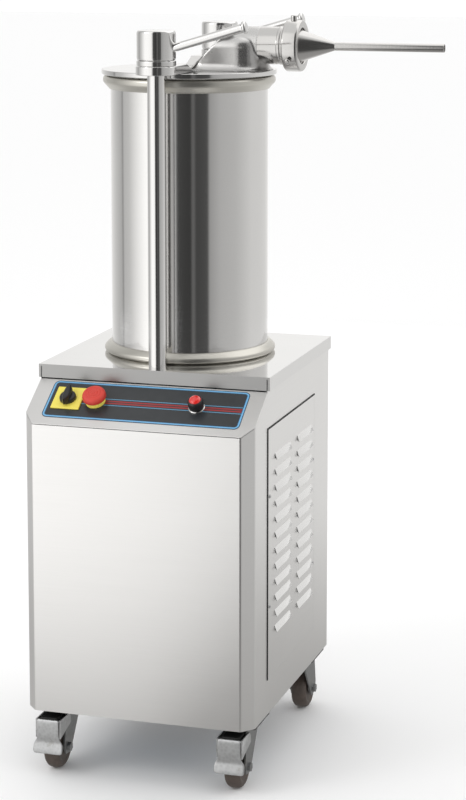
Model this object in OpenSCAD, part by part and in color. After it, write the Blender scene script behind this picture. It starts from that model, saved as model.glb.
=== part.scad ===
// Hydraulic sausage stuffer: a 26 litre food cylinder on a wheeled steel cabinet.
// Millimetres, +Z up. X runs to the right along the front, Y runs to the back.
// Shapes are drawn around the cylinder axis, and place() then moves them so that
// the origin lies on the floor under the middle of the whole machine.

/* [Cabinet] */
// Width of the deck
deck_w = 414; // [400:1:440]
// Distance from the cylinder axis to the deck's front edge
deck_front = 204; // [200:1:215]
// Distance from the cylinder axis to the deck's rear edge
deck_rear = 197; // [197:1:210]
// Height of the deck above the floor
deck_h = 702; // [690:1:720]
// Height of the deck's turned-down edge
deck_lip = 23; // [18:1:30]
// Thickness of the cabinet's sheet steel
sheet = 1.5; // [1:0.5:2.5]
// Width of the cabinet body
body_w = 406; // [392:1:406]
// Distance from the cylinder axis to the front face
body_front = 296; // [285:1:310]
// Distance from the cylinder axis to the rear face
body_rear = 195.5; // [192:0.5:195.5]
// Width of the flat front face between the corner bevels
face_w = 368; // [340:1:380]
// Depth of the bevel on each front corner
bevel_depth = 22; // [10:1:30]
// Height of the cabinet's lower edge above the floor
body_bottom = 116; // [116:1:125]

/* [Console] */
// Slope of the control console
console_angle = 32.5; // [25:0.5:40]
// Length of the printed control label
label_w = 350; // [300:1:360]
// Height of the printed control label
label_h = 88; // [70:1:92]
// Side position of the main switch
switch_x = -137; // [-145:1:-130]
// Side position of the emergency stop
stop_x = -88; // [-92:1:-80]
// Side position of the speed knob
speed_x = 92; // [60:1:120]

/* [Access panel] */
// Front edge of the louvred panel, measured back from the cylinder axis
access_front = -204; // [-210:1:-190]
// Rear edge of the louvred panel
access_rear = 97; // [85:1:110]
// Lower edge of the louvred panel
access_bottom = 177; // [170:1:200]
// Upper edge of the louvred panel
access_top = 615; // [600:1:630]
// Louvres in each of the two columns
louvre_count = 12; // [8:1:14]
// Length of one louvre
louvre_len = 94; // [80:1:96]

/* [Food cylinder] */
// Outer radius of the food cylinder
cyl_r = 138; // [138:0.5:139]
// Wall thickness of the food cylinder
cyl_wall = 3; // [3:0.5:3.5]
// Height of the cylinder's top edge above the floor
cyl_top = 1190; // [1190:1:1190]
// Outer radius of the two collars
collar_r = 151; // [148:1:152]
// Height of the top collar
top_collar_h = 28; // [20:1:36]
// Height of the bottom collar
bottom_collar_h = 19; // [14:1:24]

/* [Lid and clamps] */
// Radius of the lid
lid_r = 153.5; // [152:0.5:155]
// Thickness of the lid
lid_t = 8.5; // [8:0.5:9]
// Distance from the cylinder axis to each clamp post
post_y = 177; // [176:1:177]
// Radius of the clamp posts
post_r = 15.5; // [15:0.5:15.5]
// Radius of the clamping cap nuts
cap_r = 33; // [30:0.5:35]
// Height of the clamping cap nuts
cap_h = 50; // [44:1:56]
// Reach of each clamp lever from its post
lever_reach = 158; // [140:1:160]
// Rise of each clamp lever above level
lever_rise = 17.5; // [17:0.5:20]

/* [Outlet and nozzle] */
// Height of the outlet pipe's axis
outlet_z = 1243.5; // [1243:0.5:1245]
// Outer radius of the outlet pipe
outlet_r = 32.5; // [32:0.5:33]
// Where the ring nut starts, measured from the cylinder axis
nut_x = 177.5; // [176:0.5:180]
// Length of the ring nut
nut_len = 28.5; // [26:0.5:30]
// Outer radius of the ring nut
nut_r = 44.5; // [43:0.5:46]
// Outer radius of the stuffing tube
tube_r = 7.25; // [7:0.25:12]
// Where the cone ends and the stuffing tube starts
cone_end = 264; // [255:1:280]
// Where the stuffing tube ends
tube_end = 453.5; // [400:0.5:500]

/* [Hydraulics] */
// Stroke of the piston
stroke = 440; // [300:5:440]
// Radius of the piston rod
rod_r = 22.5; // [20:0.5:25]
// Bore radius of the hydraulic barrel
barrel_r = 40; // [38:0.5:42]

/* [Casters] */
// Radius of the caster wheels
wheel_r = 37.5; // [37:0.5:37.5]
// Width of the caster wheels
wheel_w = 28; // [24:1:28]
// Sideways distance from the cylinder axis to each caster
caster_x = 163; // [155:1:163]
// Distance from the cylinder axis forward to the front casters
caster_front = 217; // [210:1:220]
// Distance from the cylinder axis back to the rear casters
caster_rear = 146; // [130:1:146]
// Trail between a caster's swivel axis and its wheel axle
caster_trail = 28; // [24:1:30]

/* [Hidden] */
$fn = 96;
slack = 0.3;
hair = 0.05;
label_t = 0.4;
steel = "gainsboro";
satin = "silver";
dark = "dimgray";
zinc = "lightslategray";
blasted = "#b9b5aa";
black = "#26282b";
rubber = "#3b3330";

// Footprint of the whole machine, from which the origin is worked out
lug_r = 35;
plan_x = (tube_end - deck_w / 2) / 2;
plan_y = (post_y + lug_r - body_front) / 2;

// Console plane
console_top = deck_h - deck_lip - 2;
console_len = (body_front - deck_front) / cos(console_angle);
bevel_drop = (body_front - bevel_depth - deck_front) / cos(console_angle);
label_mid = 47.5;
control_mid = 48;
control_hole = 11;

// Levels of the column, from the deck upward
support_t = 15;
deck_t = 2;
gland_top = deck_h + 6;
piston_t = 30;
piston_rest = gland_top + 1;
lid_under = cyl_top + 2.5;
lid_top = lid_under + lid_t;
lug_t = 15;
lug_top = lid_top + lug_t;
washer_r = 33.5;
washer_t = 9;
cap_bottom = lug_top + washer_t + 2 * slack;
cap_top = cap_bottom + cap_h;
post_top = cap_top - 12;
stud_r = 12;
nut_h = 20;
nut_wall = 7;
stud_end = 8;
lever_r = 7.25;
lever_root = post_r + 4;
lever_z = cap_bottom + 12;

// Levels of the hydraulics, from the floor upward
barrel_wall = 7.5;
cross_t = 8;
throat_wall = 4;
port_low = 165;
port_drop = 90;
barrel_bottom = body_bottom + 24;
barrel_top = deck_h - deck_t - support_t;
ram_rest = barrel_bottom + 12;
ram_t = 36;
gland_len = 42;

// Oil tank and drive
tank_x = 172;
tank_front = -258;
tank_rear = -72;
tank_bottom = body_bottom + 3;
tank_h = 130;
tank_top = tank_bottom + tank_h;
drive_x = 85;
drive_y = (tank_front + tank_rear) / 2;
motor_r = 68;
motor_h = 220;
valve_x = -90;

// Casters
pad_t = 4;
pad_x = 36;
pad_y = 42;
plate_t = 4;
plate_top = body_bottom - pad_t;
race_h = 6;
fork_top = plate_top - plate_t - race_h;
fork_t = 3;
fork_in = wheel_w / 2 + 3;
axle_r = 5;
pedal_pin_r = 3;
pedal_pivot_y = -30;
pedal_pivot_z = 86;

// ---------------------------------------------------------------- helpers

// Moves a shape from the cylinder axis to the machine's own origin
module place() {
    translate([-plan_x, -plan_y, 0]) children();
}

// A box given by its two corners
module block(low, high) {
    translate(low) cube(high - low);
}

// A vertical round bar between two heights
module bar(x, y, r, low, high) {
    translate([x, y, low]) cylinder(r = r, h = high - low);
}

// A round bar along X between two places
module bar_x(r, from, to) {
    translate([from, 0, 0]) rotate([0, 90, 0]) cylinder(r = r, h = to - from);
}

// Local frame of the console: x to the right, y up the slope, z out of the face
module on_console(x, drop, out) {
    translate([0, -deck_front, console_top])
        rotate([console_angle, 0, 0])
            translate([x, -drop, out]) children();
}

// Everything above the console's underside, for cutting the panels below it
module above_console() {
    on_console(0, 0, -sheet) block([-deck_w, -deck_w, 0], [deck_w, deck_w, deck_w]);
}

// Vertical body edge to edge, front corners bevelled, as a flat outline
module body_outline(inset) {
    half = body_w / 2 - inset;
    face = face_w / 2 - inset / 2;
    front = -body_front + inset;
    bevel = front + bevel_depth;
    polygon([
        [-half, body_rear - inset], [-half, bevel], [-face, front],
        [face, front], [half, bevel], [half, body_rear - inset]
    ]);
}

// One wall of the body's sheet skin, kept inside the given plan box
module skin_wall(low, high, top) {
    difference() {
        intersection() {
            translate([0, 0, body_bottom]) linear_extrude(top - body_bottom) difference() {
                body_outline(0);
                body_outline(sheet);
            }
            block([low.x, low.y, 0], [high.x, high.y, top]);
        }
        above_console();
    }
}

// ---------------------------------------------------------------- cabinet

module base_frame() color(dark) place() {
    inset = 3;
    half = body_w / 2 - inset;
    front = tank_front - 6;
    rear = body_rear - inset;
    angle = 30;
    angle_t = 3;
    leg = 25;
    front_leg = -deck_front + leg + 4;
    cross_half = 40;
    difference() {
        block([-half, front, body_bottom], [half, rear, body_bottom + angle]);
        block([-half + angle_t, front + angle_t, body_bottom + angle_t],
              [half - angle_t, rear - angle_t, body_bottom + 2 * angle]);
        block([-half + angle, front + angle, 0], [half - angle, rear - angle, body_bottom + angle]);
    }
    for (side = [0, 1], y = [front_leg, rear]) mirror([side, 0, 0]) difference() {
        block([half - leg, y - leg, body_bottom], [half, y, barrel_top]);
        block([half - leg - 1, y - leg - 1, body_bottom - 1],
              [half - angle_t, y - angle_t, barrel_top + 1]);
    }
    for (x = [-caster_x, caster_x], y = [-caster_front, caster_rear])
        block([x - pad_x, y - pad_y, plate_top], [x + pad_x, y + pad_y, body_bottom]);
    block([-half + angle_t, -cross_half, body_bottom],
          [half - angle_t, cross_half, body_bottom + cross_t]);
}

module front_panel() color(steel) place() {
    skin_wall([-body_w / 2, -body_front], [body_w / 2, -body_front + bevel_depth], deck_h);
}

module left_panel() color(steel) place() {
    skin_wall([-body_w / 2, -body_front + bevel_depth], [-body_w / 2 + sheet, body_rear], deck_h - deck_t);
}

module right_panel() color(steel) place() {
    difference() {
        skin_wall([body_w / 2 - sheet, -body_front + bevel_depth], [body_w / 2, body_rear], deck_h - deck_t);
        block([body_w / 2 - 2 * sheet, access_front, access_bottom],
              [body_w / 2 + sheet, access_rear, access_top]);
    }
}

module back_panel() color(steel) place() {
    vent_half = 60;
    vent_h = 6;
    vent_low = 420;
    vent_pitch = 16;
    vent_count = 8;
    difference() {
        block([-body_w / 2 + sheet, body_rear - sheet, body_bottom],
              [body_w / 2 - sheet, body_rear, deck_h - deck_t]);
        for (i = [0 : vent_count - 1])
            translate([0, body_rear, vent_low + vent_pitch * i])
                block([-vent_half, -2 * sheet, 0], [vent_half, sheet, vent_h]);
        translate([gland_x, body_rear + sheet, gland_z]) rotate([90, 0, 0])
            cylinder(r = gland_neck, h = 3 * sheet);
    }
}

module console_panel() color(steel) place() {
    half = body_w / 2;
    face = face_w / 2;
    on_console(0, 0, -sheet) difference() {
        linear_extrude(sheet)
            polygon([[-half, 0], [half, 0], [half, -bevel_drop], [face, -console_len],
                     [-face, -console_len], [-half, -bevel_drop]]);
        for (x = [switch_x, stop_x, speed_x])
            translate([x, -control_mid, -1]) cylinder(r = control_hole, h = sheet + 2);
    }
}

module control_label() color("#2b2f33") place() {
    corner = 10;
    shift = 1;
    on_console(shift, label_mid, 0) difference() {
        linear_extrude(label_t) {
            square([label_w - 2 * corner, label_h], center = true);
            square([label_w, label_h - 2 * corner], center = true);
            for (x = [-1, 1], y = [-1, 1])
                translate([x * (label_w / 2 - corner), y * (label_h / 2 - corner)]) circle(r = corner);
        }
        for (x = [switch_x, stop_x, speed_x])
            translate([x - shift, label_mid - control_mid, -1])
                cylinder(r = control_hole, h = label_t + 2);
    }
}

module deck_plate() color(satin) place() {
    half = deck_w / 2;
    difference() {
        block([-half, -deck_front, deck_h - deck_lip], [half, deck_rear, deck_h]);
        block([-half + sheet, -deck_front + sheet, 0],
              [half - sheet, deck_rear - sheet, deck_h - deck_t]);
        bar(0, 0, barrel_r - throat_wall + hair, deck_h - deck_lip, deck_h + 1);
        for (y = [-post_y, post_y]) bar(0, y, post_r + hair, deck_h - deck_lip, deck_h + 1);
    }
}

module support_plate() color(dark) place() {
    inset = 3;
    half = body_w / 2 - inset;
    top = barrel_top + support_t;
    difference() {
        block([-half, -deck_front + inset + 1, barrel_top], [half, body_rear - inset, top]);
        bar(0, 0, barrel_r - throat_wall + hair, barrel_top - 1, top + 1);
        for (y = [-post_y, post_y]) bar(0, y, stud_r + hair, barrel_top - 1, top + 1);
    }
}

// ---------------------------------------------------------------- access panel

louvre_pitch = 27.5;
louvre_low = access_bottom + 72;
louvre_h = 11;
louvre_out = 5;
louvre_cols = [access_front + 46, access_front + 186];

// Runs its child once at every louvre
module each_louvre() {
    for (y = louvre_cols, i = [0 : louvre_count - 1])
        translate([body_w / 2, y, louvre_low + louvre_pitch * i]) children();
}

module access_panel() color(steel) place() {
    gap = 3;
    difference() {
        block([body_w / 2 - sheet, access_front + gap, access_bottom + slack],
              [body_w / 2, access_rear - slack, access_top - gap]);
        each_louvre() block([-sheet - 1, 2, 1], [1, louvre_len - 2, louvre_h - 3]);
    }
}

module access_louvres() color(steel) place() {
    skin = 1;
    each_louvre() translate([0, louvre_len, 0]) rotate([90, 0, 0]) linear_extrude(louvre_len)
        polygon([[0, louvre_h], [0, louvre_h - 2], [louvre_out - skin, 1], [louvre_out - skin, 0],
                 [louvre_out, 0], [louvre_out, 2]]);
}

module panel_screws() color("dimgray") place() {
    screw_r = 3.2;
    head_t = 1.8;
    for (z = [access_top - 120, access_bottom + 126], y = [access_front + 15, access_rear - 8])
        translate([body_w / 2, y, z]) rotate([0, 90, 0]) cylinder(r = screw_r, h = head_t);
}

// ---------------------------------------------------------------- hydraulics

module oil_tank() color("steelblue") place() {
    wall = 3;
    filler_r = 16;
    filler_h = 28;
    pump_hole = 30;
    difference() {
        block([-tank_x, tank_front, tank_bottom], [tank_x, tank_rear, tank_top]);
        block([-tank_x + wall, tank_front + wall, tank_bottom + wall],
              [tank_x - wall, tank_rear - wall, tank_top - wall]);
        bar(drive_x, drive_y, pump_hole, tank_top - 2 * wall, tank_top + wall);
    }
    bar(-tank_x + filler_r + wall, drive_y, filler_r, tank_top, tank_top + filler_h);
}

module gear_pump() color("slategray") place() {
    shaft_r = 20;
    shaft_h = 30;
    body = [25, 20, 60];
    top = tank_top - shaft_h;
    block([drive_x - body.x, drive_y - body.y, top - body.z],
          [drive_x + body.x, drive_y + body.y, top]);
    bar(drive_x, drive_y, shaft_r, top, tank_top);
}

module electric_motor() color("cadetblue") place() {
    fin = 4;
    fin_step = 15;
    fin_from = tank_top + 20;
    flange_t = 10;
    body_r = motor_r - 10;
    bell = tank_top + motor_h - 40;
    box_half = 40;
    box_out = 18;
    bar(drive_x, drive_y, motor_r, tank_top, tank_top + flange_t);
    bar(drive_x, drive_y, body_r, tank_top + flange_t, bell);
    for (a = [0 : fin_step : 360 - fin_step])
        translate([drive_x, drive_y, fin_from]) rotate([0, 0, a])
            block([body_r - 2, -fin / 2, 0], [motor_r - 2, fin / 2, bell - fin_from - flange_t]);
    bar(drive_x, drive_y, motor_r, bell, tank_top + motor_h);
    block([drive_x - box_half, drive_y + body_r - 5, tank_top + 70],
          [drive_x + box_half, drive_y + motor_r + box_out, tank_top + 130]);
}

module valve_block() color("slategray") place() {
    half_x = 35;
    half_y = 30;
    height = 60;
    coil_r = 20;
    coil_len = 45;
    plug_r = 9;
    plug_len = 30;
    block([valve_x - half_x, drive_y - half_y, tank_top],
          [valve_x + half_x, drive_y + half_y, tank_top + height]);
    translate([valve_x + half_x, drive_y, tank_top + height / 2]) rotate([0, 90, 0])
        cylinder(r = coil_r, h = coil_len);
    translate([valve_x, drive_y - half_y, tank_top + height / 2]) rotate([90, 0, 0])
        cylinder(r = plug_r, h = plug_len);
}

// Two rigid pipes from the valve block to the ports at the barrel's ends
module pressure_pipes() color("dimgray") place() {
    pipe_r = 6;
    first_run = 36;
    spread = 30;
    elbow_y = drive_y + spread + first_run;
    port_x = barrel_r + barrel_wall;
    for (i = [0, 1]) {
        x = valve_x + spread / 2 - spread * i;
        high = i == 0 ? barrel_bottom + port_low : barrel_top - port_drop;
        z = tank_top + 16 + 28 * i;
        translate([x, drive_y + spread, z]) rotate([-90, 0, 0]) cylinder(r = pipe_r, h = first_run);
        translate([x, elbow_y, z]) sphere(r = pipe_r);
        bar(x, elbow_y, pipe_r, min(z, high), max(z, high));
        translate([x, elbow_y, high]) sphere(r = pipe_r);
        translate([x, elbow_y, high]) rotate([-90, 0, 0]) cylinder(r = pipe_r, h = -elbow_y);
        translate([x, 0, high]) sphere(r = pipe_r);
        translate([x, 0, high]) rotate([0, 90, 0]) cylinder(r = pipe_r, h = -x - port_x);
    }
}

module hydraulic_barrel() color("steelblue") place() {
    difference() {
        bar(0, 0, barrel_r + barrel_wall, barrel_bottom, barrel_top);
        bar(0, 0, barrel_r, barrel_bottom - 1, barrel_top + 1);
    }
}

module barrel_foot() color(dark) place() {
    rim = 8;
    spigot = 10;
    bar(0, 0, barrel_r + barrel_wall + rim, body_bottom + cross_t, barrel_bottom);
    bar(0, 0, barrel_r, barrel_bottom, barrel_bottom + spigot);
}

module rod_gland() color("goldenrod") place() {
    difference() {
        union() {
            bar(0, 0, barrel_r, barrel_top - gland_len, barrel_top);
            bar(0, 0, barrel_r - throat_wall, barrel_top, gland_top);
        }
        bar(0, 0, rod_r + hair, barrel_top - gland_len - 1, gland_top + 1);
    }
}

module piston_rod() color("lightgray") place() {
    bar(0, 0, rod_r, ram_rest + ram_t, piston_rest);
}

module ram_piston() color("slategray") place() {
    bar(0, 0, barrel_r - slack, ram_rest, ram_rest + ram_t);
}

// ---------------------------------------------------------------- food column

groove_low = 7;
groove_h = 6;
groove_deep = 6;
piston_r = cyl_r - cyl_wall - 2 * slack;

module pusher_piston() color("lightgray") place() {
    difference() {
        bar(0, 0, piston_r, piston_rest, piston_rest + piston_t);
        for (z = [groove_low, piston_t - groove_low - groove_h]) difference() {
            bar(0, 0, piston_r + 1, piston_rest + z, piston_rest + z + groove_h);
            bar(0, 0, piston_r - groove_deep, piston_rest + z, piston_rest + z + groove_h);
        }
    }
}

module piston_seals() color("whitesmoke") place() {
    for (z = [groove_low, piston_t - groove_low - groove_h]) difference() {
        bar(0, 0, cyl_r - cyl_wall - slack, piston_rest + z, piston_rest + z + groove_h);
        bar(0, 0, piston_r - groove_deep, piston_rest + z - 1, piston_rest + z + groove_h + 1);
    }
}

module food_cylinder() color(steel) place() {
    difference() {
        bar(0, 0, cyl_r, deck_h, cyl_top);
        bar(0, 0, cyl_r - cyl_wall, deck_h - 1, cyl_top + 1);
    }
}

// Collar section: flared to the outside with a rounded lip, wide end at the given height
module top_collar() color(blasted) place() {
    lip = 8;
    foot = 3;
    low = cyl_top - top_collar_h;
    rotate_extrude() difference() {
        union() {
            polygon([[cyl_r, low], [cyl_r + foot, low], [collar_r, cyl_top - 1.6 * lip],
                     [collar_r, cyl_top - lip], [collar_r - lip, cyl_top], [cyl_r, cyl_top]]);
            translate([collar_r - lip, cyl_top - lip]) circle(r = lip);
        }
        square([cyl_r, cyl_top + 1]);
    }
}

module bottom_collar() color(blasted) place() {
    top = deck_h + bottom_collar_h;
    heel = 7;
    foot = 3;
    edge_low = 5;
    edge_high = 9;
    rotate_extrude()
        polygon([[cyl_r, deck_h], [cyl_r + heel, deck_h], [collar_r, deck_h + edge_low],
                 [collar_r, deck_h + edge_high], [cyl_r + foot, top], [cyl_r, top]]);
}

module clamp_posts() color(steel) place() {
    for (y = [-post_y, post_y]) {
        bar(0, y, stud_r, barrel_top - nut_h - stud_end, deck_h - deck_t);
        bar(0, y, post_r, deck_h - deck_t, post_top);
    }
}

module post_nuts() color(zinc) place() {
    for (y = [-post_y, post_y]) difference() {
        translate([0, y, barrel_top - nut_h]) cylinder(r = stud_r + nut_wall, h = nut_h, $fn = 6);
        bar(0, y, stud_r, barrel_top - nut_h - 1, barrel_top + 1);
    }
}

module clamp_washers() color(steel) place() {
    for (y = [-post_y, post_y]) difference() {
        bar(0, y, washer_r, lug_top + slack, lug_top + slack + washer_t);
        bar(0, y, post_r, lug_top, lug_top + washer_t + 1);
    }
}

// ---------------------------------------------------------------- lid

outlet_x = 66;
outlet_bore = 28;
elbow_end = 134;

module lid() color(steel) place() {
    difference() {
        bar(0, 0, lid_r, lid_under, lid_top);
        bar(outlet_x, 0, outlet_bore, lid_under - 1, lid_top + 1);
    }
}

module lid_gasket() color("whitesmoke") place() {
    inner_lip = 3;
    difference() {
        bar(0, 0, cyl_r, cyl_top + slack, lid_under);
        bar(0, 0, cyl_r - cyl_wall - inner_lip, cyl_top, lid_under + 1);
    }
}

// One lug: round outer end, straight flanks and a ramp down to the lid
module lug() {
    ramp_top = post_y - 60;
    ramp_foot = post_y - 97;
    intersection() {
        union() {
            bar(0, post_y, lug_r, lid_top, lug_top);
            block([-lug_r, ramp_foot, lid_top], [lug_r, post_y, lug_top]);
        }
        rotate([90, 0, 90]) translate([0, 0, -lug_r - 1]) linear_extrude(2 * lug_r + 2)
            polygon([[ramp_foot, lid_top], [post_y + lug_r + 1, lid_top],
                     [post_y + lug_r + 1, lug_top], [ramp_top, lug_top]]);
    }
}

module lid_lugs() color(steel) place() {
    slot_half = post_r + slack;
    swing = 2 * post_y;
    slot_turn = 9;
    difference() {
        lug();
        bar(0, post_y, slot_half, lid_top - 1, lug_top + 1);
    }
    difference() {
        mirror([0, 1, 0]) lug();
        bar(0, -post_y, slot_half, lid_top - 1, lug_top + 1);
        translate([0, post_y, lid_top - 1]) rotate([0, 0, -90 - slot_turn])
            rotate_extrude(angle = slot_turn)
                translate([swing - slot_half, 0]) square([2 * slot_half, lug_t + 2]);
    }
}

// Everything in front of a plane that rises at 45 degrees from the lid's top at the given x
module behind_miter(x) {
    translate([x, 0, lid_top]) rotate([0, 45, 0])
        block([0, -lid_r, -lid_r], [2 * lid_r, lid_r, lid_r]);
}

// Cast boot that turns the flow from the lid to the side
module outlet_elbow() color(steel) place() {
    foot_r = 22;
    half = 45;
    left = 13;
    wall = 4;
    facets = 32;
    shoulder = lid_top + foot_r + 1;
    inner_half = half - foot_r;
    difference() {
        union() {
            intersection() {
                hull() {
                    for (x = [left + foot_r, elbow_end - foot_r], y = [-inner_half, inner_half])
                        translate([x, y, lid_top]) cylinder(r = foot_r, h = wall, $fn = facets);
                    for (x = [left + half + 10, elbow_end - foot_r], y = [-inner_half, inner_half])
                        translate([x, y, shoulder]) sphere(r = foot_r, $fn = facets);
                    translate([left + half + 5, 0, outlet_z]) rotate([0, 90, 0])
                        cylinder(r = outlet_r, h = 40, $fn = facets);
                }
                behind_miter(left);
            }
            translate([0, 0, outlet_z]) bar_x(outlet_r, left + outlet_z + outlet_r - lid_top, elbow_end);
        }
        intersection() {
            union() {
                bar(outlet_x, 0, outlet_bore, lid_top - 1, outlet_z);
                translate([outlet_x, 0, outlet_z]) sphere(r = outlet_bore);
                translate([0, 0, outlet_z]) bar_x(outlet_bore, outlet_x, elbow_end + 1);
            }
            behind_miter(left + wall * sqrt(2));
        }
    }
}

thread_r = outlet_r + 2.5;
thread_end = nut_x + 14.5;
nut_end = nut_x + nut_len;
lip_t = 6.5;
lip_in = 1.5;

module outlet_pipe() color(steel) place() translate([0, 0, outlet_z]) {
    difference() {
        union() {
            bar_x(outlet_r, elbow_end, nut_x);
            bar_x(thread_r, nut_x, thread_end);
        }
        bar_x(outlet_bore, elbow_end - 1, thread_end + 1);
    }
}

module ring_nut() color(satin) place() translate([0, 0, outlet_z]) {
    peg_r = 5.5;
    peg_x = nut_x + 12;
    peg_out = 8;
    difference() {
        union() {
            bar_x(nut_r, nut_x, nut_end);
            for (a = [0, 120, 240])
                rotate([a, 0, 0]) translate([peg_x, 0, 0]) cylinder(r = peg_r, h = nut_r + peg_out);
        }
        bar_x(thread_r + slack, nut_x - 1, nut_end - lip_t);
        bar_x(outlet_r - lip_in, nut_end - lip_t - 1, nut_end + 1);
    }
}

module stuffing_nozzle() color(steel) place() translate([0, 0, outlet_z]) {
    flange_t = nut_end - lip_t - thread_end - slack;
    cone_r = outlet_bore + 0.5;
    wall = 1;
    translate([thread_end, 0, 0]) rotate([0, 90, 0]) rotate_extrude() polygon([
        [outlet_bore - lip_in, 0], [thread_r - slack, 0], [thread_r - slack, flange_t],
        [cone_r, flange_t], [tube_r, cone_end - thread_end], [tube_r, tube_end - thread_end],
        [tube_r - wall, tube_end - thread_end], [tube_r - wall, cone_end - thread_end],
        [cone_r - wall, flange_t]
    ]);
}

// ---------------------------------------------------------------- clamps

module cap_nut(y) {
    edge = 3;
    difference() {
        translate([0, y, cap_bottom]) rotate_extrude() union() {
            square([cap_r - edge, cap_h]);
            translate([0, edge]) square([cap_r, cap_h - 2 * edge]);
            for (z = [edge, cap_h - edge]) translate([cap_r - edge, z]) circle(r = edge);
        }
        bar(0, y, post_r + slack, cap_bottom - 1, post_top + 1);
        lever_frame(y) bar_x(lever_r, lever_root, cap_r + lever_r);
    }
}

// Local frame of a clamp lever: x along the lever from the post axis
module lever_frame(y) {
    translate([0, y, lever_z]) rotate([0, -lever_rise, 0]) children();
}

module clamp_lever(y) {
    end = lever_reach / cos(lever_rise);
    tip = 5;
    tip_rim = 2.2;
    lever_frame(y) {
        bar_x(lever_r, lever_root, end - tip);
        bar_x(lever_r + tip_rim, end - tip, end);
    }
}

module front_cap_nut() color(steel) place() {
    cap_nut(-post_y);
}

module front_lever() color(steel) place() {
    clamp_lever(-post_y);
}

module rear_cap_nut() color(steel) place() {
    cap_nut(post_y);
}

module rear_lever() color(steel) place() {
    clamp_lever(post_y);
}

// ---------------------------------------------------------------- controls

switch_plate_t = 3;
shaft_r = 4;
shaft_len = 14;
stop_base_h = 5.5;
stop_stem = 9;
speed_base_h = 3;

module switch_plate() color("gold") place() {
    half = 25.5;
    below = 2;
    hole_r = control_hole - 3;
    on_console(switch_x, control_mid - below, label_t) difference() {
        block([-half, -half, 0], [half, half, switch_plate_t]);
        translate([0, -below, -1]) cylinder(r = hole_r, h = switch_plate_t + 2);
    }
}

module switch_knob() color(black) place() {
    disc_r = 14.5;
    disc_t = 7;
    grip = [4.5, 21, 10];
    on_console(switch_x, control_mid, label_t + switch_plate_t + slack) {
        cylinder(r = disc_r, h = disc_t);
        block([-grip.x, -grip.y, disc_t], [grip.x, grip.y, disc_t + grip.z]);
        translate([0, 0, -shaft_len]) cylinder(r = shaft_r, h = shaft_len);
    }
}

module control_bases() color("gold") place() {
    stop_base_r = 17;
    speed_base_r = 14.5;
    on_console(stop_x, control_mid, label_t) difference() {
        cylinder(r = stop_base_r, h = stop_base_h);
        translate([0, 0, -1]) cylinder(r = stop_stem + 2 * slack, h = stop_base_h + 2);
    }
    on_console(speed_x, control_mid, label_t) difference() {
        cylinder(r = speed_base_r, h = speed_base_h);
        translate([0, 0, -1]) cylinder(r = shaft_r + slack, h = speed_base_h + 2);
    }
}

module stop_head() color("firebrick") place() {
    head_r = 20.3;
    head_h = 11;
    gap = 4.6;
    edge = 3;
    stem = gap + stop_base_h + 6;
    on_console(stop_x, control_mid, label_t + stop_base_h + gap) {
        rotate_extrude() {
            square([head_r - edge, head_h]);
            translate([0, edge]) square([head_r, head_h - 2 * edge]);
            for (z = [edge, head_h - edge]) translate([head_r - edge, z]) circle(r = edge);
        }
        translate([0, 0, -stem]) cylinder(r = stop_stem, h = stem);
    }
}

module speed_knob() color(black) place() {
    body_r = 13.5;
    body_h = 16;
    lens = [11.5, 9, 4];
    on_console(speed_x, control_mid, label_t + speed_base_h + slack) {
        cylinder(r = body_r, h = body_h);
        translate([0, 0, body_h]) cylinder(r1 = lens.x, r2 = lens.y, h = lens.z);
        translate([0, 0, -shaft_len]) cylinder(r = shaft_r, h = shaft_len);
    }
}

// ---------------------------------------------------------------- electrics

gland_nose = 16;
gland_x = 130;
gland_z = 200;
gland_neck = 8;

module electrical_box() color("lightgray") place() {
    wall = 2;
    low = [-body_w / 2 + sheet, 40, 380];
    high = [low.x + 70, 160, 560];
    difference() {
        block(low, high);
        block(low + [wall, wall, wall], high - [wall, wall, wall]);
    }
}

module cable_gland() color(black) place() {
    barrel = 11;
    hex_r = 14;
    hex_t = 6;
    inside = 12;
    cable_r = 4.5;
    translate([gland_x, body_rear + gland_nose, gland_z]) rotate([90, 0, 0]) difference() {
        union() {
            cylinder(r = barrel, h = gland_nose);
            translate([0, 0, gland_nose - hex_t]) cylinder(r = hex_r, h = hex_t, $fn = 6);
            cylinder(r = gland_neck, h = gland_nose + inside);
        }
        translate([0, 0, -1]) cylinder(r = cable_r, h = gland_nose + inside + 2);
    }
}

// ---------------------------------------------------------------- casters

// Caster places: side, distance behind the cylinder axis and trail direction
function caster_at(side, row) = [side * caster_x, row < 0 ? -caster_front : caster_rear, 0];

module caster_plates() color("#3a3c3f") place() {
    race_r = 24;
    for (side = [-1, 1], row = [-1, 1]) translate(caster_at(side, row)) {
        block([-pad_x, -pad_y, plate_top - plate_t], [pad_x, pad_y, plate_top]);
        bar(0, 0, race_r, fork_top + slack, plate_top - plate_t);
    }
}

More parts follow.
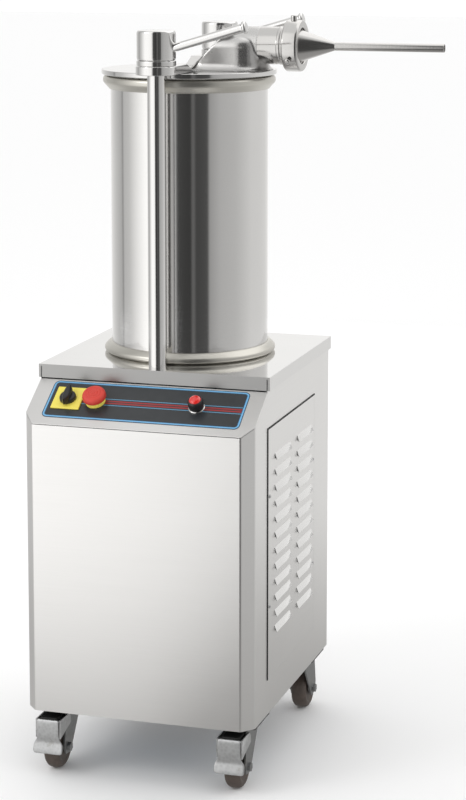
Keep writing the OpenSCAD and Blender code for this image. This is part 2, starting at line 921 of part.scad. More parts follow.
// Pressed fork with its axle bolt; trail is 1 for a wheel ahead of its swivel and -1 behind
module caster_fork(side, row, trail) {
    head = 26;
    head_t = 4;
    bolt = 3;
    nut_r = 8;
    nut_t = 5;
    outer = fork_in + fork_t;
    cheek = [[24, fork_top], [-36, fork_top], [-46, wheel_r + 8], [-40, wheel_r - 10],
             [-18, wheel_r - 12], [24, fork_top - 18]];
    pivot_hole = trail > 0 ? pedal_pin_r + slack : 0;
    translate(caster_at(side, row)) {
        block([-outer, -head, fork_top - head_t], [outer, head, fork_top]);
        difference() {
            for (x = [-outer, fork_in])
                translate([x, 0, 0]) rotate([90, 0, 90]) linear_extrude(fork_t)
                    polygon([for (corner = cheek) [corner.x * trail, corner.y]]);
            translate([0, pedal_pivot_y, pedal_pivot_z]) bar_x(pivot_hole, -wheel_w, wheel_w);
        }
        translate([0, -trail * caster_trail, wheel_r]) {
            bar_x(axle_r, -outer - bolt, outer + bolt);
            for (x = [-outer - nut_t, outer])
                translate([x, 0, 0]) rotate([0, 90, 0]) cylinder(r = nut_r, h = nut_t, $fn = 6);
        }
    }
}

module caster_wheel(side, row, trail) {
    edge = 6;
    ring_in = 12;
    ring_out = 24;
    ring_deep = 4;
    translate(caster_at(side, row) + [0, -trail * caster_trail, wheel_r])
        rotate([0, 90, 0]) translate([0, 0, -wheel_w / 2]) rotate_extrude() difference() {
            union() {
                square([wheel_r - edge, wheel_w]);
                translate([0, edge]) square([wheel_r, wheel_w - 2 * edge]);
                for (z = [edge, wheel_w - edge]) translate([wheel_r - edge, z]) circle(r = edge);
            }
            translate([0, -1]) square([axle_r + slack, wheel_w + 2]);
            for (z = [-1, wheel_w - ring_deep])
                translate([ring_in, z]) square([ring_out - ring_in, ring_deep + 1]);
        }
}

// Brake pedal: a pressed plate in front of the wheel, flared at the foot, on two arms
module brake_pedal(side) {
    neck = 23;
    foot = 27;
    top = fork_top - 3;
    neck_end = 62;
    foot_top = 54;
    foot_low = 39;
    plate = 3;
    arm = 2.4;
    arm_low = 66;
    ear = 6;
    reach = caster_trail + wheel_r + 8;
    arm_in = fork_in + fork_t + slack;
    translate(caster_at(side, -1)) {
        translate([0, -reach, 0]) rotate([90, 0, 0]) linear_extrude(plate)
            polygon([[-neck, top], [neck, top], [neck, neck_end], [foot, foot_top], [foot, foot_low],
                     [-foot, foot_low], [-foot, foot_top], [-neck, neck_end]]);
        for (x = [-arm_in - arm, arm_in])
            translate([x, 0, 0]) rotate([90, 0, 90]) linear_extrude(arm)
                polygon([[-reach, top], [-reach, arm_low], [pedal_pivot_y + ear, pedal_pivot_z - ear],
                         [pedal_pivot_y + ear, pedal_pivot_z + ear], [pedal_pivot_y, top]]);
        translate([0, pedal_pivot_y, pedal_pivot_z]) bar_x(pedal_pin_r, -arm_in - arm, arm_in + arm);
    }
}

module front_left_fork() color(zinc) place() caster_fork(-1, -1, 1);
module front_left_wheel() color(rubber) place() caster_wheel(-1, -1, 1);
module front_left_pedal() color(zinc) place() brake_pedal(-1);
module front_right_fork() color(zinc) place() caster_fork(1, -1, 1);
module front_right_wheel() color(rubber) place() caster_wheel(1, -1, 1);
module front_right_pedal() color(zinc) place() brake_pedal(1);
module rear_left_fork() color(zinc) place() caster_fork(-1, 1, -1);
module rear_left_wheel() color(rubber) place() caster_wheel(-1, 1, -1);
module rear_right_fork() color(zinc) place() caster_fork(1, 1, -1);
module rear_right_wheel() color(rubber) place() caster_wheel(1, 1, -1);

base_frame();
front_panel();
left_panel();
right_panel();
back_panel();
console_panel();
control_label();
deck_plate();
support_plate();
access_panel();
access_louvres();
panel_screws();
oil_tank();
electric_motor();
gear_pump();
valve_block();
pressure_pipes();
hydraulic_barrel();
barrel_foot();
rod_gland();
food_cylinder();
top_collar();
bottom_collar();
clamp_posts();
post_nuts();
electrical_box();
cable_gland();
switch_plate();
control_bases();
caster_plates();
clamp_washers();
piston_rod();
ram_piston();
pusher_piston();
piston_seals();
lid();
lid_lugs();
lid_gasket();
outlet_elbow();
outlet_pipe();
ring_nut();
stuffing_nozzle();
front_cap_nut();
front_lever();
rear_cap_nut();
rear_lever();
switch_knob();
stop_head();
speed_knob();
front_left_fork();
front_left_wheel();
front_left_pedal();
front_right_fork();
front_right_wheel();
front_right_pedal();
rear_left_fork();
rear_left_wheel();
rear_right_fork();
rear_right_wheel();
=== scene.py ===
# %% [markdown]
# # A hydraulic sausage stuffer
#
# The machine is a stainless cabinet on casters with a tall food cylinder on its deck. Its exact
# shapes, sizes and joints come from the CAD frame. This lesson gives those parts their
# finishes, and remakes the ones whose real form is softer than CAD draws: folded sheet, cast metal,
# pressed caster parts and moulded knobs.

# %% Load the frame
import math

import bmesh
import bpy
from mathutils import Matrix, Vector


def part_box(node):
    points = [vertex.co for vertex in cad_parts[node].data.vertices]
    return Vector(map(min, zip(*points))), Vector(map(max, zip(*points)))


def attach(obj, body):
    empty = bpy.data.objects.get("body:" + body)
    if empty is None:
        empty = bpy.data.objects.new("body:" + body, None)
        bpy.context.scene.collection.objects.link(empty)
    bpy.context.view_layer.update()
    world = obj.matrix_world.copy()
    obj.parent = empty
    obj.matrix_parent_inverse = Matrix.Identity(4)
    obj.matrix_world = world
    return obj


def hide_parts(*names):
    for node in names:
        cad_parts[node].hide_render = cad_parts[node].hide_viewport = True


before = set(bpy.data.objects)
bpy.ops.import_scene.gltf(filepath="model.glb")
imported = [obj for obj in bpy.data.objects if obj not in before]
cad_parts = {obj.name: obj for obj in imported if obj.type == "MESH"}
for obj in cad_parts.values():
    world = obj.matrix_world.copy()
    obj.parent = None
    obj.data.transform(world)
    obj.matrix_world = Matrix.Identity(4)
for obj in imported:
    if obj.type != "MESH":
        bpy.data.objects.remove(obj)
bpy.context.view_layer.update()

# %% [markdown]
# ## Places taken from the frame
#
# Everything stands around the food cylinder's axis, so a few boxes from the frame give most other
# places. The console slopes 32.5 degrees from level, as it does in the frame.

# %% Places and small measures
MM = 0.001


def middle(node):
    low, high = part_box(node)
    return (low + high) / 2


def size(node):
    low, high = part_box(node)
    return high - low


def into_scene(name, data):
    """An object of this mesh, camera or light, put in the scene."""
    made = bpy.data.objects.new(name, data)
    bpy.context.scene.collection.objects.link(made)
    return made


POST_R = 15.5 * MM
column = middle("food_cylinder")
deck_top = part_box("deck_plate")[1].z
slope = math.radians(32.5)
outlet_z = middle("outlet_pipe").z
post_y = size("clamp_posts").y / 2 - POST_R
print("column at", column.xy, "deck at", round(deck_top, 3), "slope", round(math.degrees(slope), 1))

# %% [markdown]
# ## The camera
#
# A long lens from some four metres, a little to the right of the front and above the lid, looking
# slightly down. Keeping the tilt small and shifting the lens down keeps the upright edges nearly
# upright, as an architect's camera does.

# %% Camera
view_turn = math.radians(17.14)
view_tilt = math.radians(8.04)
view_distance = 3.9774
view_sideways = 0.0762
eye_height = 1.4597

camera = into_scene("camera", bpy.data.cameras.new("camera"))
forward = Vector((-math.sin(view_turn), math.cos(view_turn), 0))
rightward = Vector((math.cos(view_turn), math.sin(view_turn), 0))
camera.location = Vector((column.x, column.y, eye_height))
camera.location += rightward * view_sideways - forward * view_distance
camera.rotation_euler = (math.pi / 2 - view_tilt, 0, view_turn)
camera.data.sensor_width = 36
camera.data.lens = 102.3
camera.data.shift_y = -0.2
camera.data.clip_end = 50
bpy.context.scene.camera = camera
print("camera at", tuple(round(value, 2) for value in camera.location))

# %% [markdown]
# ## A short way to write shader maths
#
# A node tree is easier to read as a formula. `Value` wraps one node socket, and adding or
# multiplying two values adds the Math node that does it. `Paint` makes every other node with one
# method, so that a material reads as a short list of steps.

# %% Shader helpers


class Value:
    """A number that changes over a surface, held as a node socket."""

    def __init__(self, paint, socket):
        self.paint = paint
        self.socket = socket

    def math(self, operation, *others):
        return self.paint.math(operation, self, *others)

    def __add__(self, other):
        return self.math("ADD", other)

    def __sub__(self, other):
        return self.math("SUBTRACT", other)

    def __rsub__(self, other):
        return self.paint.math("SUBTRACT", other, self)

    def __mul__(self, other):
        return self.math("MULTIPLY", other)

    def __truediv__(self, other):
        return self.math("DIVIDE", other)

    def __lt__(self, other):
        return self.math("LESS_THAN", other)

    def __gt__(self, other):
        return self.math("GREATER_THAN", other)

    __radd__ = __add__
    __rmul__ = __mul__


class Paint:
    """One material in the making."""

    def __init__(self, name):
        self.material = bpy.data.materials.new(name)
        self.material.use_nodes = True
        self.tree = self.material.node_tree
        self.shader = self.tree.nodes["Principled BSDF"]

    def node(self, kind, settings=None, sockets=None):
        made = self.tree.nodes.new("ShaderNode" + kind)
        for key, setting in (settings or {}).items():
            setattr(made, key, setting)
        for key, value in (sockets or {}).items():
            self.join(value, made.inputs[key])
        return made

    def join(self, value, socket):
        if isinstance(value, Value):
            value = value.socket
        if isinstance(value, bpy.types.NodeSocket):
            self.tree.links.new(value, socket)
        else:
            socket.default_value = value

    def math(self, operation, *values):
        made = self.node("Math", {"operation": operation}, dict(enumerate(values)))
        return Value(self, made.outputs[0])

    def place(self):
        return self.node("TexCoord").outputs["Object"]

    def noise(self, stretch, scale=1.0, detail=3.0, rough=0.55):
        spread = self.node("Mapping", {}, {"Vector": self.place(), "Scale": stretch})
        made = self.node("TexNoise", {}, {"Vector": spread.outputs[0], "Scale": scale,
                                          "Detail": detail, "Roughness": rough})
        return Value(self, made.outputs["Fac"])

    def mix(self, factor, low, high):
        made = self.node("Mix", {"data_type": "RGBA"}, {"Factor": factor})
        self.join(low, made.inputs[6])
        self.join(high, made.inputs[7])
        return made.outputs[2]

    def bump(self, height, strength, distance):
        made = self.node("Bump", {}, {"Height": height, "Strength": strength, "Distance": distance})
        self.join(made.outputs[0], self.shader.inputs["Normal"])

    def set(self, **sockets):
        for key, value in sockets.items():
            self.join(value, self.shader.inputs[key.replace("_", " ")])
        return self.material


print("shader helpers ready")

# %% [markdown]
# ## Stainless steel, in several finishes
#
# Sheet is brushed along its length, so its grain is a noise that changes fast across the brush
# and slowly along it. Turned parts carry rings, which is the same noise with the fast direction
# along the axis. Handling leaves soft smudges, a slow noise on the roughness. One function makes all
# of them, because only the numbers differ.

# %% Metal maker


def grey(level, warmth=0.0):
    return (level * (1 + warmth), level, level * (1 - warmth), 1.0)


def metal(name, level, warmth, rough, grain, depth, smudge=0.06, top_polish_front_shade=0.0):
    """Steel with a grain; top_polish_front_shade smooths what faces up, and darkens what faces front as
    painted shade.
    """
    tint = 0.03
    lip_shade = 0.48
    paint = Paint(name)
    fine = paint.noise(grain, detail=2.0)
    slow = paint.noise((6, 6, 6), detail=3.0)
    colour = paint.mix(slow, grey(level - tint, warmth), grey(level + tint, warmth))
    shade = paint.mix(fine * 0.35, colour, grey(level - 2 * tint, warmth))
    paint.bump(fine, depth, 0.0004)
    roughness = slow * smudge + fine * smudge + (rough - smudge)
    if top_polish_front_shade:
        facing = paint.node("SeparateXYZ", {}, {0: paint.node("NewGeometry").outputs["Normal"]})
        roughness = roughness - Value(paint, facing.outputs["Z"]).math("MAXIMUM", 0.0) * top_polish_front_shade
        # What faces front gets a darker base colour: painted shade.
        painted_front_shade = (Value(paint, facing.outputs["Y"]) * -1.0).math("MAXIMUM", 0.0)
        shade = paint.mix(painted_front_shade, shade, grey(level * lip_shade, warmth))
    return paint.set(Base_Color=shade, Metallic=1.0, Roughness=roughness)


LEVEL_GRAIN = (5, 5, 900)
DECK_GRAIN = (8, 900, 8)
AXIAL_GRAIN = (900, 6, 6)
FINISH = {
    "sheet": metal("brushed_sheet", 0.80, 0.008, 0.32, LEVEL_GRAIN, 0.16),
    # The louvre hoods take a lighter copy of the brushed sheet: their brighter base colour is painted light.
    "bright_painted_hood": metal("pressed_hood_painted_bright", 0.90, 0.004, 0.15, LEVEL_GRAIN, 0.04, smudge=0.03),
    # The deck's front lip is darkened in its base colour: painted shade.
    "deck": metal("polished_deck", 0.78, 0.006, 0.34, DECK_GRAIN, 0.03, smudge=0.03, top_polish_front_shade=0.30),
    "cylinder": metal("polished_tube", 0.74, 0.008, 0.10, LEVEL_GRAIN, 0.05, smudge=0.03),
    "turned": metal("turned_steel", 0.74, 0.006, 0.10, LEVEL_GRAIN, 0.05, smudge=0.04),
    "turned_x": metal("turned_along_x", 0.58, 0.016, 0.16, AXIAL_GRAIN, 0.06, smudge=0.04),
}
print(len(FINISH), "stainless finishes")

# %% [markdown]
# ## Castings, blasted rings, zinc and dark steel
#
# The outlet is a polished casting: it keeps low waves and tiny pits. The two collars of the
# cylinder have a fine blasted satin, slightly warm. Zinc on the caster parts is a cool grey with the
# crystal patches that plating shows. The frame below is plain dark paint.

# %% Other metals


def cast_metal():
    paint = Paint("cast_steel")
    waves = paint.noise((14, 14, 14), detail=2.0)
    pits = paint.noise((420, 420, 420), detail=1.0)
    colour = paint.mix(waves, grey(0.52, 0.010), grey(0.64, 0.010))
    paint.bump(waves * 0.8 + pits * 0.06, 0.55, 0.004)
    return paint.set(Base_Color=colour, Metallic=1.0, Roughness=waves * 0.12 + pits * 0.05 + 0.20)


def blasted_metal():
    paint = Paint("blasted_ring")
    grains = paint.noise((1500, 1500, 1500), detail=1.0)
    slow = paint.noise((9, 9, 9))
    colour = paint.mix(slow, (0.56, 0.545, 0.50, 1), (0.64, 0.625, 0.58, 1))
    paint.bump(grains, 0.25, 0.0002)
    return paint.set(Base_Color=colour, Metallic=1.0, Roughness=slow * 0.08 + 0.28)


def zinc_metal(name, level):
    paint = Paint(name)
    crystals = paint.node("TexVoronoi", {}, {"Vector": paint.place(), "Scale": 190.0})
    patch = Value(paint, crystals.outputs["Distance"])
    dirt = paint.noise((40, 40, 40), detail=4.0)
    plate = paint.mix(patch, grey(level * 0.78, -0.01), grey(level, -0.01))
    colour = paint.mix((dirt > 0.62) * 0.35, plate, (0.30, 0.29, 0.26, 1))
    paint.bump(dirt, 0.2, 0.0006)
    return paint.set(Base_Color=colour, Metallic=0.85, Roughness=dirt * 0.2 + 0.32)


def lighter(colour, factor, lift):
    """The same colour as dust or wear leaves it."""
    return tuple(min(1.0, channel * factor + lift) for channel in colour[:3]) + (1,)


def dark_paint(name, colour, rough, metallic=0.0):
    paint = Paint(name)
    peel = paint.noise((260, 260, 260), detail=2.0)
    dust = paint.noise((12, 12, 12), detail=4.0)
    tone = paint.mix(dust * 0.5, colour, lighter(colour, 1.7, 0.01))
    paint.bump(peel, 0.25, 0.0004)
    return paint.set(Base_Color=tone, Metallic=metallic, Roughness=dust * 0.15 + rough)


FINISH["cast"] = cast_metal()
FINISH["blasted"] = blasted_metal()
FINISH["zinc"] = zinc_metal("zinc_plate", 0.60)
FINISH["dull_zinc"] = zinc_metal("dull_zinc", 0.30)
FINISH["frame"] = dark_paint("frame_paint", (0.02, 0.021, 0.023, 1), 0.45)
FINISH["enamel"] = dark_paint("blue_enamel", (0.045, 0.10, 0.16, 1), 0.30)
FINISH["machined"] = metal("machined_block", 0.42, 0.0, 0.30, (300, 300, 300), 0.10)
FINISH["bronze"] = dark_paint("bronze", (0.42, 0.26, 0.09, 1), 0.30, metallic=1.0)
print(len(FINISH), "finishes so far")

# %% [markdown]
# ## Plastics and rubber
#
# Moulded plastic has a faint orange peel and picks up dust and fine scuffs, so its roughness
# varies. The wheels are dark brown polyurethane, scuffed by a workshop floor.

# %% Plastics and rubber


def plastic(name, colour, rough, coat=0.0):
    paint = Paint(name)
    peel = paint.noise((320, 320, 320), detail=2.0)
    scuff = paint.noise((70, 70, 70), detail=5.0)
    tone = paint.mix(scuff * 0.6, colour, lighter(colour, 1.25, 0.012))
    paint.bump(peel, 0.12, 0.0003)
    return paint.set(Base_Color=tone, Roughness=scuff * 0.22 + rough, Coat_Weight=coat)


def tyre_rubber():
    paint = Paint("tyre")
    scuff = paint.noise((90, 90, 90), detail=6.0, rough=0.7)
    tone = paint.mix(scuff, (0.035, 0.026, 0.022, 1), (0.115, 0.085, 0.068, 1))
    paint.bump(scuff, 0.35, 0.0008)
    return paint.set(Base_Color=tone, Roughness=scuff * 0.3 + 0.38)


FINISH["black"] = plastic("black_plastic", (0.012, 0.012, 0.013, 1), 0.22)
FINISH["yellow"] = plastic("yellow_plastic", (0.84, 0.70, 0.10, 1), 0.34)
FINISH["red"] = plastic("red_plastic", (0.56, 0.035, 0.02, 1), 0.42)
FINISH["red_lens"] = plastic("red_lens", (0.62, 0.012, 0.008, 1), 0.06, coat=1.0)
FINISH["rubber"] = plastic("black_rubber", (0.008, 0.008, 0.008, 1), 0.6)
FINISH["seal"] = plastic("food_seal", (0.72, 0.71, 0.66, 1), 0.5)
FINISH["tyre"] = tyre_rubber()
print(len(FINISH), "finishes")

# %% [markdown]
# ## The printed control label
#
# The label is a black film with a blue double border and a striped band. Each line is a set
# distance from the film's edge, so the shader measures that distance: a rounded box has a simple
# distance formula. The wording of a real label is left out.

# %% Label


LABEL_HEIGHT = 88 * MM
STRIPE_START = -118 * MM
INNER_EDGE = 5.2


def label_film():
    paint = Paint("label_print")
    centre = middle("control_label")
    half = Vector((size("control_label").x, LABEL_HEIGHT)) / 2
    corner = 10 * MM
    place = paint.place()
    offset = paint.node("VectorMath", {"operation": "SUBTRACT"}, {0: place, 1: centre})
    up_slope = (0, math.cos(slope), math.sin(slope))

    def along(direction):
        dot = {"operation": "DOT_PRODUCT"}
        made = paint.node("VectorMath", dot, {0: offset.outputs[0], 1: direction})
        return Value(paint, made.outputs["Value"])

    across = along((1, 0, 0))
    up = along(up_slope)
    beyond_x = across.math("ABSOLUTE") - (half.x - corner)
    beyond_y = up.math("ABSOLUTE") - (half.y - corner)
    outside_x = beyond_x.math("MAXIMUM", 0.0)
    outside_y = beyond_y.math("MAXIMUM", 0.0)
    reach = (outside_x * outside_x + outside_y * outside_y).math("SQRT")
    inner = beyond_x.math("MAXIMUM", beyond_y).math("MINIMUM", 0.0)
    depth = corner - (reach + inner)

    def band(value, low, high):
        return (value > low * MM) * (value < high * MM)

    stripe = (up + 0.5 * MM).math("ABSOLUTE")
    reaches = (across > STRIPE_START) * (depth > INNER_EDGE * MM)
    colour = paint.mix(paint.noise((60, 60, 60), detail=4.0),
                       (0.020, 0.023, 0.026, 1), (0.034, 0.038, 0.042, 1))
    for mask, ink in ((band(depth, 0.0, 1.3), (0.010, 0.030, 0.075, 1)),
                      (band(depth, 1.3, 4.2), (0.16, 0.42, 0.68, 1)),
                      (band(depth, 4.2, INNER_EDGE), (0.015, 0.075, 0.17, 1)),
                      (band(stripe, 6.6, 8.0) * reaches, (0.12, 0.33, 0.52, 1)),
                      (band(stripe, 1.1, 3.9) * reaches, (0.33, 0.020, 0.024, 1))):
        colour = paint.mix(mask, colour, ink)
    paint.bump(paint.noise((900, 900, 900), detail=1.0), 0.05, 0.0002)
    return paint.set(Base_Color=colour, Roughness=paint.noise((30, 30, 30)) * 0.15 + 0.28)


FINISH["label"] = label_film()
print("label ready")

# %% [markdown]
# ## Finishes on the CAD nodes
#
# A node whose CAD shape is already right keeps its mesh and only takes a finish.

# %% Dress the CAD nodes
DRESS = {
    "sheet": ["front_panel", "left_panel", "right_panel", "back_panel", "console_panel", "access_panel",
              "access_louvres"],
    "deck": ["deck_plate"],
    "cylinder": ["food_cylinder", "piston_rod"],
    "turned": ["clamp_posts", "clamp_washers", "lid", "lid_lugs", "front_cap_nut", "rear_cap_nut",
               "front_lever", "rear_lever", "pusher_piston"],
    "turned_x": ["outlet_pipe", "ring_nut", "stuffing_nozzle"],
    "cast": ["outlet_elbow"],
    "blasted": ["top_collar", "bottom_collar"],
    "frame": ["base_frame", "support_plate", "barrel_foot", "caster_plates"],
    "zinc": ["panel_screws", "post_nuts", "front_left_fork", "front_right_fork", "rear_left_fork",
             "rear_right_fork", "front_left_pedal", "front_right_pedal"],
    "tyre": ["front_left_wheel", "front_right_wheel", "rear_left_wheel", "rear_right_wheel"],
    "label": ["control_label"],
    "yellow": ["switch_plate", "control_bases"],
    "black": ["switch_knob", "speed_knob", "cable_gland"],
    "red": ["stop_head"],
    "enamel": ["oil_tank", "electric_motor", "hydraulic_barrel", "electrical_box"],
    "machined": ["gear_pump", "valve_block", "pressure_pipes", "ram_piston"],
    "seal": ["piston_seals", "lid_gasket"],
    "bronze": ["rod_gland"],
}


def dress(node, material):
    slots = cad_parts[node].data.materials
    slots.clear()
    slots.append(material)


for finish, nodes in DRESS.items():
    for node in nodes:
        dress(node, FINISH[finish])
print(sum(len(nodes) for nodes in DRESS.values()), "nodes dressed")

# %% [markdown]
# ## Turned parts
#
# Collars, cap nuts, levers, the nozzle and the wheels are all round. On a lathe such a part is one
# profile, turned about an axis, and it can be made the same way here. A corner of the profile
# may have a radius, because a real edge is broken and catches a line of light.

# %% Lathe


def soft_profile(corners, closed):
    """Corners (radius, height, rounding) in millimetres become a list of points with arcs."""
    points = []
    count = len(corners)
    for index, (r, h, rounding) in enumerate(corners):
        here = Vector((r, h))
        ends = closed or 0 < index < count - 1
        if rounding <= 0 or not ends:
            points.append(here)
            continue
        before = Vector(corners[index - 1][:2]) - here
        after = Vector(corners[(index + 1) % count][:2]) - here
        start = here + before.normalized() * min(rounding, before.length * 0.48)
        end = here + after.normalized() * min(rounding, after.length * 0.48)
        for step in range(5):
            t = step / 4
            points.append(start * (1 - t) ** 2 + here * 2 * t * (1 - t) + end * t * t)
    return points


def turned(corners, origin, axis=(0, 0, 1), closed=False, steps=96):
    """A bmesh of the profile turned about an axis through origin."""
    made = bmesh.new()
    turn = Vector((0, 0, 1)).rotation_difference(Vector(axis)).to_matrix()
    rings = []
    for r, h in soft_profile(corners, closed):
        if r < 1e-6:
            rings.append([made.verts.new(Vector(origin) + turn @ Vector((0, 0, h * MM)))])
            continue
        circle = [(math.cos(math.tau * step / steps), math.sin(math.tau * step / steps))
                  for step in range(steps)]
        rings.append([made.verts.new(Vector(origin) + turn @ (Vector((r * x, r * y, h)) * MM))
                      for x, y in circle])
    pairs = list(zip(rings, rings[1:])) + ([(rings[-1], rings[0])] if closed else [])
    for low, high in pairs:
        for step in range(steps):
            corner = [low[step % len(low)], low[(step + 1) % len(low)],
                      high[(step + 1) % len(high)], high[step % len(high)]]
            face = [vert for index, vert in enumerate(corner) if vert not in corner[:index]]
            if len(face) > 2:
                made.faces.new(face)
    bmesh.ops.recalc_face_normals(made, faces=made.faces)
    return made


print("lathe ready")

# %% [markdown]
# ## Softened copies of sheet and plate parts
#
# CAD plates end in perfect edges. A bevel of about a millimetre with smooth shading
# gives the broken edge of real sheet, and weighted normals keep the flats flat. The copy is
# merged first, because a CAD node's mesh is loose triangles.

# %% Piece helpers


def piece(name, shape, finish, body, *replaced, angle=35):
    """A finished object from a bmesh, riding a body and standing for CAD nodes."""
    mesh = bpy.data.meshes.new(name)
    shape.to_mesh(mesh)
    shape.free()
    mesh.shade_smooth()
    mesh.set_sharp_from_angle(angle=math.radians(angle))
    mesh.materials.append(FINISH[finish])
    made = into_scene(name, mesh)
    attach(made, body)
    if replaced:
        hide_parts(*replaced)
    return made


def bake(made):
    """Turn an object's modifiers into plain mesh."""
    bpy.context.view_layer.update()
    graph = bpy.context.evaluated_depsgraph_get()
    mesh = bpy.data.meshes.new_from_object(made.evaluated_get(graph))
    made.modifiers.clear()
    old = made.data
    made.data = mesh
    bpy.data.meshes.remove(old)


def break_edges(made, width, segments=3, angle=30):
    """A bevel on each edge that is sharper than the angle in degrees."""
    bevel = made.modifiers.new("edge", "BEVEL")
    bevel.width = width * MM
    bevel.segments = segments
    bevel.limit_method = "ANGLE"
    bevel.angle_limit = math.radians(angle)


def thicken(made, thickness):
    """Sheet of a thickness, laid inward from its outer face."""
    thick = made.modifiers.new("thickness", "SOLIDIFY")
    thick.thickness = thickness
    thick.offset = -1


def keep_flats(made):
    """Weighted normals, which keep the flats beside a bevel flat."""
    made.modifiers.new("flats", "WEIGHTED_NORMAL").keep_sharp = True


def cad_copy(node):
    shape = bmesh.new()
    shape.from_mesh(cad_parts[node].data)
    bmesh.ops.remove_doubles(shape, verts=shape.verts, dist=1e-5)
    return shape


def soften(node, finish, body, edge):
    shape = cad_copy(node)
    bmesh.ops.dissolve_limit(shape, angle_limit=math.radians(1), verts=shape.verts, edges=shape.edges)
    made = piece(node + "_soft", shape, finish, body, node)
    break_edges(made, edge, angle=40)
    keep_flats(made)
    bake(made)
    return made


def bridge(shape, here, there, closed=True):
    """Quads between two rows of points, each row closed on itself or open."""
    for step in range(len(here) if closed else len(here) - 1):
        after = (step + 1) % len(here)
        shape.faces.new([here[step], here[after], there[after], there[step]])


def join_shapes(*shapes):
    """One bmesh out of several."""
    whole = shapes[0]
    for part in shapes[1:]:
        mesh = bpy.data.meshes.new("part")
        part.to_mesh(mesh)
        part.free()
        whole.from_mesh(mesh)
        bpy.data.meshes.remove(mesh)
    return whole


SOFT = {
    "deck_plate": ("deck", "cabinet", 0.7), "console_panel": ("sheet", "cabinet", 0.6),
    "access_panel": ("sheet", "cabinet", 0.5), "lid": ("turned", "lid_arm", 1.2),
    "lid_lugs": ("turned", "lid_arm", 1.4), "clamp_washers": ("turned", "cabinet", 1.2),
    "switch_plate": ("yellow", "cabinet", 1.1), "caster_plates": ("frame", "cabinet", 0.8),
    "cable_gland": ("black", "cabinet", 0.8),
}
for node, (finish, body, edge) in SOFT.items():
    made = soften(node, finish, body, edge)
    print(made.name, len(made.data.polygons), "faces")

# %% [markdown]
# ## The folded cabinet skin
#
# The front is one skin of 1.5 mm sheet with four upright folds, and the sides carry on from it. A
# brake press leaves each fold with a radius, which shows as a thin bright line. The front is a plan
# outline with rounded corners, raised to the console's slope, and then given its thickness inward.

# %% Skin outline
SHEET = 1.5 * MM
CHAMFER = 19 * MM
FOLD_RADIUS = 2.6 * MM
# How far the console's top edge and the skin's top edge lie below the deck plate's box
CONSOLE_DROP = 2 * MM
SKIN_DROP = 4 * MM
body_low, body_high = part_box("front_panel")[0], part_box("back_panel")[1]
front_y = body_low.y
side_x = size("front_panel").x / 2
fold_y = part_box("front_panel")[1].y
face_x = side_x - CHAMFER
deck_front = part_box("deck_plate")[0].y
console_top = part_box("deck_plate")[0].z - CONSOLE_DROP
skin_bottom = body_low.z
access_low, access_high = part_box("access_panel")
access_gap = 3 * MM


def skin_top(y):
    """Height of the skin's top edge: it follows the underside of the sloped console."""
    if y >= deck_front:
        return deck_top - SKIN_DROP
    return console_top + (y - deck_front) * math.tan(slope) - SHEET / math.cos(slope)


def rounded_line(corners, radius):
    """Plan corners become a line with arcs."""
    line = [Vector(corners[0])]
    for before, here, after in zip(corners, corners[1:], corners[2:]):
        here = Vector(here)
        start = here + (Vector(before) - here).normalized() * radius
        end = here + (Vector(after) - here).normalized() * radius
        for step in range(6):
            t = step / 5
            line.append(start * (1 - t) ** 2 + here * 2 * t * (1 - t) + end * t * t)
    line.append(Vector(corners[-1]))
    return line


side_start = fold_y + 3 * MM
half_outline = [(face_x, front_y), (side_x, fold_y), (side_x, side_start)]
outline = rounded_line([(column.x - x, y) for x, y in reversed(half_outline)]
                       + [(column.x + x, y) for x, y in half_outline], FOLD_RADIUS)
print(len(outline), "points round the front")

# %% Front and side skins


def skin(name, walls, body, *replaced):
    """Walls are lists of corner points; they share corners and get the sheet's thickness."""
    shape = bmesh.new()
    for corners in walls:
        shape.faces.new([shape.verts.new(corner) for corner in corners])
    bmesh.ops.remove_doubles(shape, verts=shape.verts, dist=1e-6)
    made = piece(name, shape, "sheet", body, *replaced)
    thicken(made, SHEET)
    keep_flats(made)
    bake(made)


PANEL_PLAY = 0.3 * MM


def wall(start, end):
    return [(start.x, start.y, skin_bottom), (end.x, end.y, skin_bottom),
            (end.x, end.y, skin_top(end.y)), (start.x, start.y, skin_top(start.y))]


def side_walls(x, flip, hole):
    """One side as upright strips, left open where the access panel sits."""
    rows = [skin_bottom, access_low.z - PANEL_PLAY, access_high.z + access_gap,
            skin_top(deck_front - 1e-6)]
    columns = [side_start, deck_front, access_high.y + PANEL_PLAY, body_high.y - SHEET]
    walls = []
    for left, right in zip(columns, columns[1:]):
        for low, high in zip(rows, rows[1:]):
            if hole and left == columns[1] and low == rows[1]:
                continue
            tops = [high if high != rows[3] or y > side_start else skin_top(y) for y in (left, right)]
            corners = [(x, left, low), (x, right, low), (x, right, tops[1]), (x, left, tops[0])]
            walls.append(corners[::-1] if flip else corners)
        if left >= deck_front:
            top = skin_top(deck_front)
            corners = [(x, left, rows[3]), (x, right, rows[3]), (x, right, top), (x, left, top)]
            walls.append(corners[::-1] if flip else corners)
    return walls


skin("front_skin", [wall(start, end) for start, end in zip(outline, outline[1:])], "cabinet", "front_panel")
skin("left_skin", side_walls(column.x - side_x, True, False), "cabinet", "left_panel")
skin("right_skin", side_walls(column.x + side_x, False, True), "cabinet", "right_panel")
print("cabinet skin folded")

# %% [markdown]
# The access panel stands in its opening, and a dark strip fills the gap above and in front of it: painted
# shade for the shadow in the gap, in the black rubber finish. The strip is two pieces that meet at the corner
# and stand a little proud of the sheet.

# %% Access panel seal


def box_shape(low, high):
    shape = bmesh.new()
    bmesh.ops.create_cube(shape, size=1.0)
    centre, spread = (Vector(low) + Vector(high)) / 2, Vector(high) - Vector(low)
    for vert in shape.verts:
        vert.co = centre + vert.co * spread
    return shape


